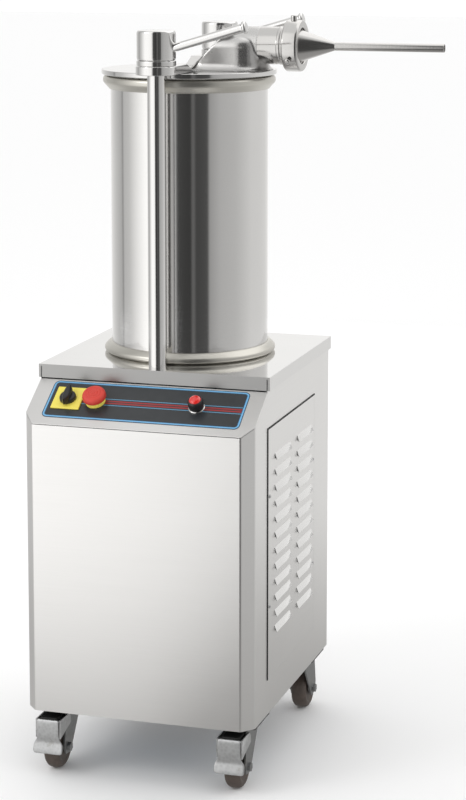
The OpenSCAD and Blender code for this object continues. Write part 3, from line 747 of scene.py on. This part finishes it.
FRONT_PROUD = 1.3 * MM
TOP_PROUD = 1.0 * MM
SHADE_STRIP_DEPTH = 3 * MM
SHADE_STRIP_PLAY = 0.1 * MM
side_face = column.x + side_x
shade_strip_in = side_face - SHADE_STRIP_DEPTH
gap_front = access_low.y - access_gap + SHADE_STRIP_PLAY
gap_top = access_high.z + access_gap - SHADE_STRIP_PLAY
front_strip = box_shape((shade_strip_in, gap_front, access_low.z),
                        (side_face + FRONT_PROUD, access_low.y - SHADE_STRIP_PLAY, gap_top))
top_strip = box_shape((shade_strip_in, access_low.y, access_high.z + SHADE_STRIP_PLAY),
                      (side_face + TOP_PROUD, access_high.y, gap_top))
# These dark strips are painted shade for the gap round the panel, not a real seal.
seal = piece("access_seal", join_shapes(front_strip, top_strip), "rubber", "cabinet")
break_edges(seal, 0.3, segments=2)
bake(seal)
print("seal", len(seal.data.polygons), "faces")

# %% [markdown]
# ## Louvres and screws by Geometry Nodes
#
# The access panel has two columns of pressed louvres. Each is the same hood, so one hood is
# modelled and a node tree sets it out: two nested grids of points, with the counts and pitches as
# named inputs. The same tree sets out the four panel screws, because they are a grid of two by two.

# %% Grid tree


def grid_tree(name, finish):
    tree = bpy.data.node_groups.new(name, "GeometryNodeTree")
    tree.interface.new_socket("Pattern", in_out="INPUT", socket_type="NodeSocketGeometry")
    for label, kind in (("Part", "Object"), ("Rows", "Int"), ("Columns", "Int"), ("Row step", "Vector"),
                        ("Column step", "Vector"), ("Start", "Vector")):
        tree.interface.new_socket(label, in_out="INPUT", socket_type="NodeSocket" + kind)
    tree.interface.new_socket("Grid", in_out="OUTPUT", socket_type="NodeSocketGeometry")

    def node(kind, settings=None, sockets=None):
        made = tree.nodes.new(kind)
        for key, setting in (settings or {}).items():
            setattr(made, key, setting)
        for key, value in (sockets or {}).items():
            if isinstance(value, bpy.types.NodeSocket):
                tree.links.new(value, made.inputs[key])
            else:
                made.inputs[key].default_value = value
        return made

    inputs = node("NodeGroupInput").outputs
    column_line = node("GeometryNodeMeshLine", {}, {"Count": inputs["Columns"],
                                                    "Start Location": inputs["Start"],
                                                    "Offset": inputs["Column step"]})
    row_line = node("GeometryNodeMeshLine", {}, {"Count": inputs["Rows"], "Offset": inputs["Row step"]})
    lines = node("GeometryNodeInstanceOnPoints", {}, {"Points": column_line.outputs[0],
                                                      "Instance": row_line.outputs[0]})
    points = node("GeometryNodeRealizeInstances", {}, {0: lines.outputs[0]})
    part = node("GeometryNodeObjectInfo", {}, {"Object": inputs["Part"]})
    parts = node("GeometryNodeInstanceOnPoints", {}, {"Points": points.outputs[0],
                                                      "Instance": part.outputs["Geometry"]})
    solid = node("GeometryNodeRealizeInstances", {}, {0: parts.outputs[0]})
    painted = node("GeometryNodeSetMaterial", {}, {"Geometry": solid.outputs[0],
                                                   "Material": FINISH[finish]})
    node("NodeGroupOutput", {}, {0: painted.outputs[0]})
    return tree


def set_out(name, shape, finish, body, sizes, *replaced):
    """Repeat a shape on a grid, as one mesh that rides a body."""
    pattern_mesh = bpy.data.meshes.new(name + "_pattern")
    shape.to_mesh(pattern_mesh)
    shape.free()
    pattern_mesh.shade_smooth()
    pattern_mesh.set_sharp_from_angle(angle=math.radians(40))
    pattern = into_scene(name + "_pattern", pattern_mesh)
    made = into_scene(name, bpy.data.meshes.new(name))
    grid = made.modifiers.new("grid", "NODES")
    grid.node_group = grid_tree(name + "_grid", finish)
    sizes = dict(sizes, Part=pattern)
    for item in grid.node_group.interface.items_tree:
        if item.in_out == "INPUT" and item.name in sizes:
            grid[item.identifier] = sizes[item.name]
    bake(made)
    bpy.data.objects.remove(pattern)
    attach(made, body)
    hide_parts(*replaced)
    return made


print("grid tree ready")

# %% One louvre hood


def louvre_hood(length, height, out):
    """A pressed hood: it slopes out from the panel to a rolled lower lip, open below and at its ends."""
    profile = [(0.0, 1.0), (0.10, 0.97), (0.30, 0.80), (0.62, 0.45), (0.90, 0.17), (1.0, 0.07), (0.98, 0.0)]
    wall_thick = 0.9 * MM
    shape = bmesh.new()
    rows = []
    for place in (0.0, 0.02, 0.5, 0.98, 1.0):
        tuck = 0.25 if place in (0.0, 1.0) else 0.0
        outer = [Vector((out * x * (1 - tuck), length * place, height * z)) for x, z in profile]
        inner = [point - Vector((wall_thick, 0, 0.3 * wall_thick)) for point in reversed(outer)]
        rows.append([shape.verts.new(point) for point in outer + inner])
    for here, there in zip(rows, rows[1:]):
        bridge(shape, here, there)
    for row in (rows[0], rows[-1]):
        for index in range(len(profile) - 1):
            shape.faces.new([row[index], row[index + 1], row[-index - 2], row[-index - 1]])
    bmesh.ops.recalc_face_normals(shape, faces=shape.faces)
    return shape


HOOD_LENGTH = 94 * MM
HOOD_HEIGHT = 11 * MM
# The hoods' finish is a lighter copy of the sheet: painted light.
made = set_out("louvres", louvre_hood(HOOD_LENGTH, HOOD_HEIGHT, size("access_louvres").x), "bright_painted_hood", "cabinet",
               {"Rows": 12, "Columns": 2, "Row step": (0, 0, 27.5 * MM), "Column step": (0, 140 * MM, 0),
                "Start": tuple(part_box("access_louvres")[0])}, "access_louvres")
print("louvres", len(made.data.polygons), "faces")

# %% Screws
HEAD_R = 3.2
first_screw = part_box("panel_screws")[0] + Vector((0, HEAD_R, HEAD_R)) * MM
spread = size("panel_screws") - Vector((0, 2, 2)) * HEAD_R * MM
head = turned([(0, 0, 0), (HEAD_R, 0, 0), (HEAD_R, 0.9, 0.5), (2.2, 1.8, 0.6), (1.2, 1.8, 0.1),
               (1.0, 0.8, 0), (0, 0.8, 0)], (0, 0, 0), (1, 0, 0), steps=20)
made = set_out("screws", head, "zinc", "cabinet",
               {"Rows": 2, "Columns": 2, "Row step": (0, 0, spread.z), "Column step": (0, spread.y, 0),
                "Start": tuple(first_screw)}, "panel_screws")
print("screws", len(made.data.polygons), "faces")

# %% [markdown]
# ## The column: collars, cap nuts and levers
#
# Both collars are rolled rings welded to the cylinder. The upper one flares out to a
# rounded lip under the lid. The cap nuts are solid bar with a soft edge, and each lever ends in a
# small smooth head that stops a hand sliding off.

# %% Collars and cap nuts
BORE_R = 138.05
collar_low = 5 - size("top_collar").z / MM


def collar(name, profile, height, node):
    shape = turned(profile, (column.x, column.y, height), closed=True, steps=160)
    piece(name, shape, "blasted", "cabinet", node)


collar("upper_collar", [(BORE_R, collar_low, 0), (140.5, collar_low, 1), (142, collar_low + 2.5, 3),
                        (151, -11, 3), (151, -4, 4), (148, 0, 3), (BORE_R, 0, 0)],
       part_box("top_collar")[1].z, "top_collar")
collar("lower_collar", [(BORE_R, 0, 0), (146, 0, 1), (151, 4, 2.5), (151, 9.5, 3), (142, 18, 4),
                        (139.5, 19, 0.8), (BORE_R, 19, 0)], deck_top, "bottom_collar")
CAP_R = 33
LEVER_RISE = math.radians(16.2)
LEVER_ROOT = 12 * MM
cap_h = size("front_cap_nut").z / MM
tip = 158 / math.cos(LEVER_RISE)
cap_profile = [(POST_R / MM + 0.3, 0, 0), (31.5, 0, 1), (CAP_R, 3, 2.5), (CAP_R, cap_h - 3, 2.5),
               (31, cap_h, 2), (29, cap_h - 0.4, 0.3), (0, cap_h - 0.4, 0)]
lever_profile = [(0, 19.5, 0), (7.25, 19.5, 0), (7.7, tip - 9, 1), (8.2, tip - 7, 1), (10.6, tip - 6, 1.2),
                 (10.6, tip - 1.5, 1.8), (8.5, tip, 1), (0, tip, 0)]
for side, towards in (("front", -1), ("rear", 1)):
    post = Vector((column.x, column.y + towards * post_y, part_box(side + "_cap_nut")[0].z))
    lever = turned(lever_profile, post + Vector((0, 0, LEVER_ROOT)),
                   (math.cos(LEVER_RISE), 0, math.sin(LEVER_RISE)), steps=40)
    piece(side + "_cap", turned(cap_profile, post), "turned", side + "_clamp", side + "_cap_nut")
    piece(side + "_handle", lever, "turned", side + "_clamp", side + "_lever")
print("column parts turned")

# %% [markdown]
# ## The cast outlet
#
# The boot that turns the flow sideways is a casting: every join is a fillet, and its back is cut
# flat at 45 degrees. Its riser, its neck and a cove round its foot are convex hulls that overlap. They
# are remeshed into one skin and relaxed, which rounds each join as a foundry's sand mould does. A thin
# plate then closes the sloping back.

# %% Shapes for the boot
axis_start = Vector((column.x, column.y, outlet_z))
along_x = (1, 0, 0)
boot_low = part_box("outlet_elbow")[0]
plate_normal = Vector((-1, 0, 1)).normalized()
plate_spot = Vector((boot_low.x, column.y, boot_low.z))


def hull_of(points):
    shape = bmesh.new()
    for point in points:
        shape.verts.new(point)
    found = bmesh.ops.convex_hull(shape, input=shape.verts)
    unused = set(found["geom_interior"] + found["geom_unused"])
    loose = [item for item in unused if isinstance(item, bmesh.types.BMVert)]
    bmesh.ops.delete(shape, geom=loose, context="VERTS")
    bmesh.ops.recalc_face_normals(shape, faces=shape.faces)
    return shape


def cut(shape, point, normal):
    """Take off what lies on the normal's side of a plane, and close the cut."""
    bmesh.ops.bisect_plane(shape, geom=shape.verts[:] + shape.edges[:] + shape.faces[:],
                           plane_co=point, plane_no=normal, clear_outer=True)
    bmesh.ops.holes_fill(shape, edges=[edge for edge in shape.edges if edge.is_boundary])
    bmesh.ops.recalc_face_normals(shape, faces=shape.faces)
    return shape


def mitred(points):
    """The hull of the points, cut along the boot's 45 degree back."""
    return cut(hull_of(points), plate_spot, plate_normal)


def foot_outline(grow=0.0):
    """The boot's plan: squarish at the plate and round at the pipe, in millimetres from the column."""
    points = []
    for x, y, r, first in ((96, 0, 44.5, 0), (37, 20.5, 24, 90), (37, -20.5, 24, 180), (96, 0, 44.5, 270)):
        for turn in range(0, 91, 9):
            way = math.radians(first + turn)
            points.append(Vector((x + (r + grow) * math.cos(way), y + (r + grow) * math.sin(way), 0)))
    return points


def boot_point(point, up):
    return Vector((column.x + point.x * MM, column.y + point.y * MM, boot_low.z + up * MM))


print("outline of", len(foot_outline()), "points")

# %% Parts of the boot
STRAIGHT_UP = 37
TOP_ROUND = 22
PIPE_R = 32.5
COVE_REACH = 11
COVE_HEIGHT = 12
COVE_STEPS = 14
PLATE_FOOT = 13
PLATE_HALF = 47
PLATE_STRAIGHT = 62
PLATE_CROWN = 13.5

riser_points = [boot_point(point, 0) for point in foot_outline()]
for step in range(10):
    lift = math.pi / 2 * step / 9
    riser_points += [boot_point(point, STRAIGHT_UP + TOP_ROUND * math.sin(lift))
                     for point in foot_outline(-TOP_ROUND * (1 - math.cos(lift)))]
riser = mitred(riser_points)
neck = mitred([axis_start + Vector((x, PIPE_R * math.cos(turn), PIPE_R * math.sin(turn))) * MM
               for x in (10, 134) for turn in (math.tau * step / 72 for step in range(72))])


def cove_step(step):
    """One layer of the cove: it reaches less far and stands higher with each step."""
    quarter = math.pi / 2
    reach = COVE_REACH * (1 - math.sin(quarter * step / COVE_STEPS))
    rise = 1 - math.cos(quarter * (step + 1) / COVE_STEPS)
    layer = []
    for point, edge in zip(foot_outline(1), foot_outline()):
        away = (point - edge).normalized()
        at_pipe = max(0.0, away.x) ** 3
        height = COVE_HEIGHT * (1 + at_pipe) * rise + 0.8
        layer += [boot_point(edge + away * reach, 0), boot_point(edge + away * reach, height)]
    return mitred(layer)


coves = [cove_step(step) for step in range(COVE_STEPS)]
plate_edge = [boot_point(Vector((PLATE_FOOT, side * PLATE_HALF, 0)), 0) for side in (-1, 1)]
for turn in range(0, 181, 10):
    way = math.radians(turn)
    up = PLATE_STRAIGHT + PLATE_CROWN * math.sin(way)
    plate_edge.append(boot_point(Vector((PLATE_FOOT + up, PLATE_HALF * math.cos(way) * 0.86, 0)), up))
plate = hull_of([corner + plate_normal * lift * MM for corner in plate_edge for lift in (-2.4, 0.2)])
print("riser", len(riser.verts), "vertices,", len(coves), "cove steps")

# %% Cast it in one skin
casting = piece("outlet_casting", join_shapes(riser, neck, *coves), "cast", "lid_arm", "outlet_elbow",
                angle=180)
remesh = casting.modifiers.new("one_skin", "REMESH")
remesh.mode = "VOXEL"
remesh.voxel_size = 1.5 * MM
remesh.use_smooth_shade = True
relax = casting.modifiers.new("relax", "SMOOTH")
relax.factor = 0.5
relax.iterations = 6
bake(casting)
back_plate = piece("outlet_back_plate", plate, "turned", "lid_arm")
break_edges(back_plate, 0.7, segments=2)
bake(back_plate)
print("casting", len(casting.data.polygons), "faces")

# %% [markdown]
# ## Pipe, ring nut and nozzle
#
# The nozzle is spun from thin sheet, so its cone runs into the tube without a corner. The ring nut
# clamps its flange. Its three pegs take a hook spanner.

# %% Nozzle group
piece("pipe",
      turned([(28, 132, 0), (PIPE_R, 132, 0), (PIPE_R, 166, 1), (33.4, 167, 0.5), (33.4, 171, 0.5),
              (PIPE_R, 172, 0.5), (PIPE_R, 177.5, 0), (35, 177.5, 0.3), (35, 192, 0.5), (28, 192, 0.5)],
             axis_start, along_x, closed=True), "turned_x", "lid_arm", "outlet_pipe")
nut = turned([(35.3, 177.5, 0.5), (42.5, 177.5, 1), (44.5, 179.5, 1.5), (44.5, 203, 2), (42.5, 206, 1.5),
              (33, 206, 1.2), (31, 204.5, 0.8), (31, 199.5, 0.4), (35.3, 199.5, 0.2)],
             axis_start, along_x, closed=True)
PEG_PLACE = 189.5 * MM
pegs = []
for turn in (0, 120, 240):
    out = Vector((0, -math.sin(math.radians(turn)), math.cos(math.radians(turn))))
    pegs.append(turned([(0, 40, 0), (5.5, 40, 0), (5.5, 51, 1.2), (4.2, 52.5, 1), (0, 52.5, 0)],
                       axis_start + Vector((PEG_PLACE, 0, 0)), out, steps=32))
piece("nut", join_shapes(nut, *pegs), "turned_x", "nut", "ring_nut")
piece("nozzle", turned([(26.5, 192, 0.5), (34.7, 192, 0.5), (34.7, 199.2, 0.8), (28.8, 199.2, 1.5),
                        (7.4, 262, 2), (7.4, 452.8, 0.4), (6.8, 453.5, 0.2), (6.25, 453.5, 0.1),
                        (6.25, 264, 2), (27.4, 198.5, 0.5)],
                       axis_start, along_x, closed=True, steps=72), "turned_x", "lid_arm", "stuffing_nozzle")
print("nozzle group turned")

# %% [markdown]
# ## Controls
#
# The controls stand square on the sloped console, so they are made in its own frame: across, up the
# slope, and out. The switch has a lens-shaped grip that points to its setting. The stop button is a
# mushroom with pressed rings, and the speed knob carries a domed red lens.

# %% Console frame
console_turn = Matrix.Rotation(slope, 3, "X")
console_out = console_turn @ Vector((0, 0, 1))


def on_console(x, drop, out=0.0):
    return Vector((column.x, deck_front, console_top)) + console_turn @ Vector((x * MM, -drop * MM, out * MM))


def spot_of(node):
    """How far across a control stands, measured on its own node."""
    return (middle(node).x - column.x) / MM


ROW_DROP = 48
FILM_THICK = 0.4
PLATE_THICK = 3
switch_spot = on_console(spot_of("switch_knob"), ROW_DROP, FILM_THICK + PLATE_THICK)
stop_spot = on_console(spot_of("stop_head"), ROW_DROP, FILM_THICK)
speed_spot = on_console(spot_of("speed_knob"), ROW_DROP, FILM_THICK)
print("controls across at", [round(spot_of(node)) for node in ("switch_knob", "stop_head", "speed_knob")])

# %% Rotary switch


def lens_grip(half_length, half_width, low, high):
    """A grip with a lens-shaped plan that narrows towards its top."""
    shape = bmesh.new()
    rings = []
    for level, width in ((low, 1.0), (low + 0.55 * (high - low), 0.86), (high - 1.2, 0.62), (high, 0.34)):
        ring = []
        for step in range(48):
            turn = math.tau * step / 48
            y = half_length * math.sin(turn) * (0.97 if level > low + 5 else 1.0)
            x = half_width * width * math.copysign(abs(math.cos(turn)) ** 1.5, math.cos(turn))
            ring.append(shape.verts.new(switch_spot + console_turn @ Vector((x * MM, y * MM, level * MM))))
        rings.append(ring)
    for here, there in zip(rings, rings[1:]):
        bridge(shape, here, there)
    shape.faces.new(rings[-1])
    shape.faces.new(rings[0][::-1])
    bmesh.ops.recalc_face_normals(shape, faces=shape.faces)
    return shape


disc = turned([(0, 0.3, 0), (14.6, 0.3, 0.4), (14.2, 5.5, 1.2), (12.5, 7.3, 1), (0, 7.3, 0)],
              switch_spot, console_out)
piece("switch_handle", join_shapes(disc, lens_grip(21.5, 7.5, 6, 17)), "black", "switch", "switch_knob",
      angle=50)
print("switch made")

# %% Stop button and speed knob
piece("mushroom",
      turned([(0, 2, 0), (9, 2, 0), (9, 9.8, 0.5), (17.7, 9.9, 0.4), (18.3, 8.7, 0.5), (20.3, 9.8, 1.2),
              (20.3, 16, 2.5), (18, 20.0, 2.5), (14, 20.7, 1), (13.2, 20.0, 0.4), (12.4, 20.8, 0.4),
              (8.8, 21.0, 0.6), (8.1, 20.2, 0.4), (7.4, 21.1, 0.4), (4.2, 21.2, 0.6), (3.6, 20.5, 0.3),
              (2.9, 21.2, 0.3), (0, 21.2, 0)], stop_spot, console_out),
      "red", "stop", "stop_head", angle=60)
piece("stop_base",
      turned([(9.6, 0, 0), (17, 0, 0), (17, 3, 0.8), (16, 3.6, 0.4), (15.6, 5.4, 0.8), (9.6, 5.4, 0.3)],
             stop_spot, console_out, closed=True), "yellow", "cabinet", "control_bases")
piece("speed_ring", turned([(4.3, 0, 0), (14.5, 0, 0), (14.5, 2, 0.7), (13.4, 3, 0.5), (4.3, 3, 0)],
                           speed_spot, console_out, closed=True), "turned", "cabinet")
piece("speed_body", turned([(0, 3.3, 0), (12.8, 3.3, 0.5), (13.5, 8, 2), (13.5, 17, 1.5), (12.2, 19.4, 1),
                            (10.6, 19.4, 0.4), (10.6, 17.5, 0), (0, 17.5, 0)], speed_spot, console_out),
      "black", "speed", "speed_knob")
piece("speed_lens",
      turned([(10.5, 17.6, 0), (10.5, 19.2, 1), (8.5, 21.8, 2.5), (4.5, 23.3, 3), (0, 23.4, 0)],
             speed_spot, console_out, steps=64), "red_lens", "speed", angle=80)
print("buttons made")

# %% [markdown]
# ## Casters
#
# Each caster is a pressed fork with a polyurethane wheel. The front ones carry a brake pedal: a
# plate that is folded in an S and flared at the foot, with two arms back to its pivot. The plate is
# a grid of points whose width and depth follow the drop, given its thickness afterwards. A dark
# brake housing fills the space behind it.

# %% Wheels and forks
CASTERS = ["front_left", "front_right", "rear_left", "rear_right"]
for corner in CASTERS:
    hub = middle(corner + "_wheel")
    tyre = turned([(8, -12.5, 0.5), (24, -12.5, 1), (26, -13.5, 1), (31, -14, 1.5), (36, -10, 4),
                   (37.5, -4, 3), (37.5, 4, 3), (36, 10, 4), (31, 14, 1.5), (26, 13.5, 1),
                   (24, 12.5, 1), (8, 12.5, 0.5)], hub, along_x, closed=True, steps=80)
    piece(corner + "_tyre", tyre, "tyre", corner + "_roller", corner + "_wheel")
    piece(corner + "_hub", turned([(5.3, -15.5, 0.3), (8.1, -15.5, 0.8), (8.1, 15.5, 0.8), (5.3, 15.5, 0.3)],
                                  hub, along_x, closed=True, steps=40), "zinc", corner + "_roller")
    soften(corner + "_fork", "dull_zinc", corner + "_swivel", 0.9)
print("four casters")

# %% Brake pedals
PEDAL_SHEET = 2.6 * MM
# The arms start this far behind the plate's face, and the housing a little behind that
ARMS_BACK = 3.2 * MM
HOUSING_BACK = 6 * MM
HOUSING_HALF = 16 * MM
HOUSING_LENGTH = 88 * MM
HOUSING_LOW, HOUSING_HIGH = 91 * MM, 101.8 * MM


def pedal_plate(centre_x, front_face):
    """The folded plate: rows down the plate, each with its half width and its depth."""
    rows = [(99.6, 19.5, 4.5), (98.6, 19.8, 1.6), (96, 20, 0.3), (88, 20, 0), (78, 20, 0), (70, 20, 0.4),
            (65, 20.4, 1.6), (60.5, 22.8, 2.8), (56.5, 26.2, 2.6), (52, 26.8, 1.0), (46, 27, -0.8),
            (42, 26.6, -1.6), (40, 25, -1.8), (39, 22, -1.8)]
    shape = bmesh.new()
    grid = []
    for height, half, depth in rows:
        grid.append([shape.verts.new((centre_x + half * MM * step / 6, front_face + depth * MM, height * MM))
                     for step in range(-6, 7)])
    for here, there in zip(grid, grid[1:]):
        bridge(shape, there, here, closed=False)
    return shape


for corner in CASTERS[:2]:
    low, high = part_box(corner + "_pedal")
    made = piece(corner + "_foot_plate", pedal_plate((low.x + high.x) / 2, low.y), "zinc", corner + "_brake",
                 corner + "_pedal", angle=60)
    thicken(made, PEDAL_SHEET)
    smooth = made.modifiers.new("smooth", "SUBSURF")
    smooth.levels = smooth.render_levels = 2
    bake(made)
    arms = cut(cad_copy(corner + "_pedal"), (0, low.y + ARMS_BACK, 0), (0, -1, 0))
    piece(corner + "_pedal_arms", arms, "zinc", corner + "_brake")
    swivel = middle(corner + "_fork")
    back = low.y + HOUSING_BACK
    house = box_shape((swivel.x - HOUSING_HALF, back, HOUSING_LOW),
                      (swivel.x + HOUSING_HALF, back + HOUSING_LENGTH, HOUSING_HIGH))
    housing = piece(corner + "_brake_housing", house, "rubber", corner + "_swivel")
    break_edges(housing, 2)
    bake(housing)
print("pedals folded")

# %% [markdown]
# ## Room and light
#
# Polished steel has little colour of its own: it shows the room. So the room is a round wall whose
# glow changes with direction, like soft boxes and dark flags set round a display table. The dark
# stretch by the camera gives the tube its dark upright bands, and the bright stretches light its
# edges. The wall is hidden from the camera and from shadows.

# %% Floor


def stage_piece(name, points, faces, material, seen):
    mesh = bpy.data.meshes.new(name)
    mesh.from_pydata(points, [], faces)
    mesh.materials.append(material)
    made = into_scene(name, mesh)
    made.visible_camera = seen
    made.visible_shadow = seen
    made.visible_diffuse = seen


def flat_square(name, half, height, material, seen):
    corners = [(x * half, y * half, height) for x, y in ((-1, -1), (1, -1), (1, 1), (-1, 1))]
    stage_piece(name, corners, [(0, 1, 2, 3)], material, seen)


floor_paint = Paint("pale_floor").set(Base_Color=grey(0.93), Roughness=0.9)
flat_square("floor", 30, 0, floor_paint, True)
print("floor laid")

# %% Glow by direction
WALL_R = 4.3
WALL_TOP = 3.0
# Degrees round the machine, from the camera and towards the right, and the glow there
GLOW = [(-180, 1.0), (-150, 0.80), (-139, 0.70), (-115, 0.50), (-113, 0.22), (-110, 0.58), (-97, 0.66),
        (-85, 0.92), (-66, 1.30), (-45, 1.30), (-26, 1.20), (-20, 0.60), (-17, 0.06), (3, 0.04), (4, 0.15),
        (8, 0.15), (9, 0.06), (27, 0.08), (29, 0.38), (46, 0.52), (71, 0.58), (101, 0.76), (130, 0.78),
        (152, 0.82), (170, 1.0), (180, 1.0)]


def from_column(paint):
    """How far to the right and to the back of the column a point lies."""
    spot = paint.node("SeparateXYZ", {}, {0: paint.place()})
    return Value(paint, spot.outputs["X"]) - column.x, Value(paint, spot.outputs["Y"]) - column.y


def glow_round(paint):
    """The glow in the direction of a point, and that direction in degrees."""
    across, away = from_column(paint)
    turn = across.math("ARCTAN2", away * -1.0) - view_turn + 3 * math.pi
    share = turn.math("MODULO", math.tau) / math.tau
    ramp = paint.node("ValToRGB", {}, {"Fac": share})
    stops = ramp.color_ramp.elements
    for index, (direction, glow) in enumerate(GLOW):
        place = (direction + 180) / 360
        stop = stops[index] if index < 2 else stops.new(place)
        stop.position = place
        stop.color = (glow, glow * 0.995, glow * 0.98, 1)
    return ramp.outputs["Color"], share * 360.0 - 180.0


def limited(value):
    return value.math("MAXIMUM", 0.0).math("MINIMUM", 1.0)


def glowing(paint, colour):
    return paint.set(Base_Color=(0, 0, 0, 1), Roughness=1.0, Emission_Color=colour, Emission_Strength=1.0)


print("glow of", len(GLOW), "directions")

# %% Round wall and ceiling


def round_wall():
    paint = Paint("round_wall")
    return glowing(paint, glow_round(paint)[0])


# The even disc overhead, and the bright side to the right, each with its soft edge
OVERHEAD_R, OVERHEAD_FADE = 1.3, 0.4
RIGHT_FROM, RIGHT_FADE = 60.0, 25.0


def ceiling_paint():
    paint = Paint("round_ceiling")
    colour, degrees = glow_round(paint)
    across, away = from_column(paint)
    far = (across * across + away * away).math("SQRT")
    overhead = limited((far * -1.0 + OVERHEAD_R) / OVERHEAD_FADE)
    right_side = limited((degrees - RIGHT_FROM) / RIGHT_FADE)
    middle_part = paint.mix(overhead, colour, (0.96, 0.96, 0.95, 1))
    return glowing(paint, paint.mix(right_side, middle_part, (1.5, 1.49, 1.47, 1)))


SIDES = 180
ring = [(column.x + WALL_R * math.sin(math.tau * step / SIDES),
         column.y - WALL_R * math.cos(math.tau * step / SIDES)) for step in range(SIDES)]
stage_piece("round_wall", [(x, y, z) for z in (0.0, WALL_TOP) for x, y in ring],
            [(step, (step + 1) % SIDES, SIDES + (step + 1) % SIDES, SIDES + step) for step in range(SIDES)],
            round_wall(), False)
stage_piece("round_ceiling", [(x, y, WALL_TOP) for x, y in ring], [tuple(reversed(range(SIDES)))],
            ceiling_paint(), False)
print("wall and ceiling of", SIDES, "sides")

# %% [markdown]
# The front panel shows what lies before it. A floor flag, grey near the machine and as bright as the
# wall further out, gives it its slow fall of tone. The world lights what the wall lets through, and
# one soft light adds a key from the left.

# %% Floor flag, world and light
BODY_HALF = 0.25
FLAG_FADE = 1.3


def floor_flag():
    paint = Paint("floor_flag")
    colour = glow_round(paint)[0]
    across, away = from_column(paint)
    outside = (across.math("ABSOLUTE") - side_x).math("MAXIMUM", away.math("ABSOLUTE") - BODY_HALF)
    return glowing(paint, paint.mix(limited(outside / FLAG_FADE), (0.38, 0.375, 0.365, 1), colour))


flat_square("floor_flag", 4.2, 2 * MM, floor_flag(), False)
world = bpy.data.worlds.new("ceiling")
world.use_nodes = True
world.node_tree.nodes["Background"].inputs["Color"].default_value = (1, 1, 1, 1)
world.node_tree.nodes["Background"].inputs["Strength"].default_value = 1.05
bpy.context.scene.world = world
bpy.context.scene.view_settings.view_transform = "Standard"


def soft_light(name, place, target, width, height, power):
    light = bpy.data.lights.new(name, "AREA")
    light.shape = "RECTANGLE"
    light.size = width
    light.size_y = height
    light.energy = power
    made = into_scene(name, light)
    made.location = place
    made.rotation_euler = (Vector(target) - Vector(place)).to_track_quat("-Z", "Y").to_euler()


soft_light("key_left", (-2.4, -2.6, 2.9), (0, 0, 0.7), 1.4, 1.4, 22)
print(len(bpy.data.lights), "light, ceiling and flag")
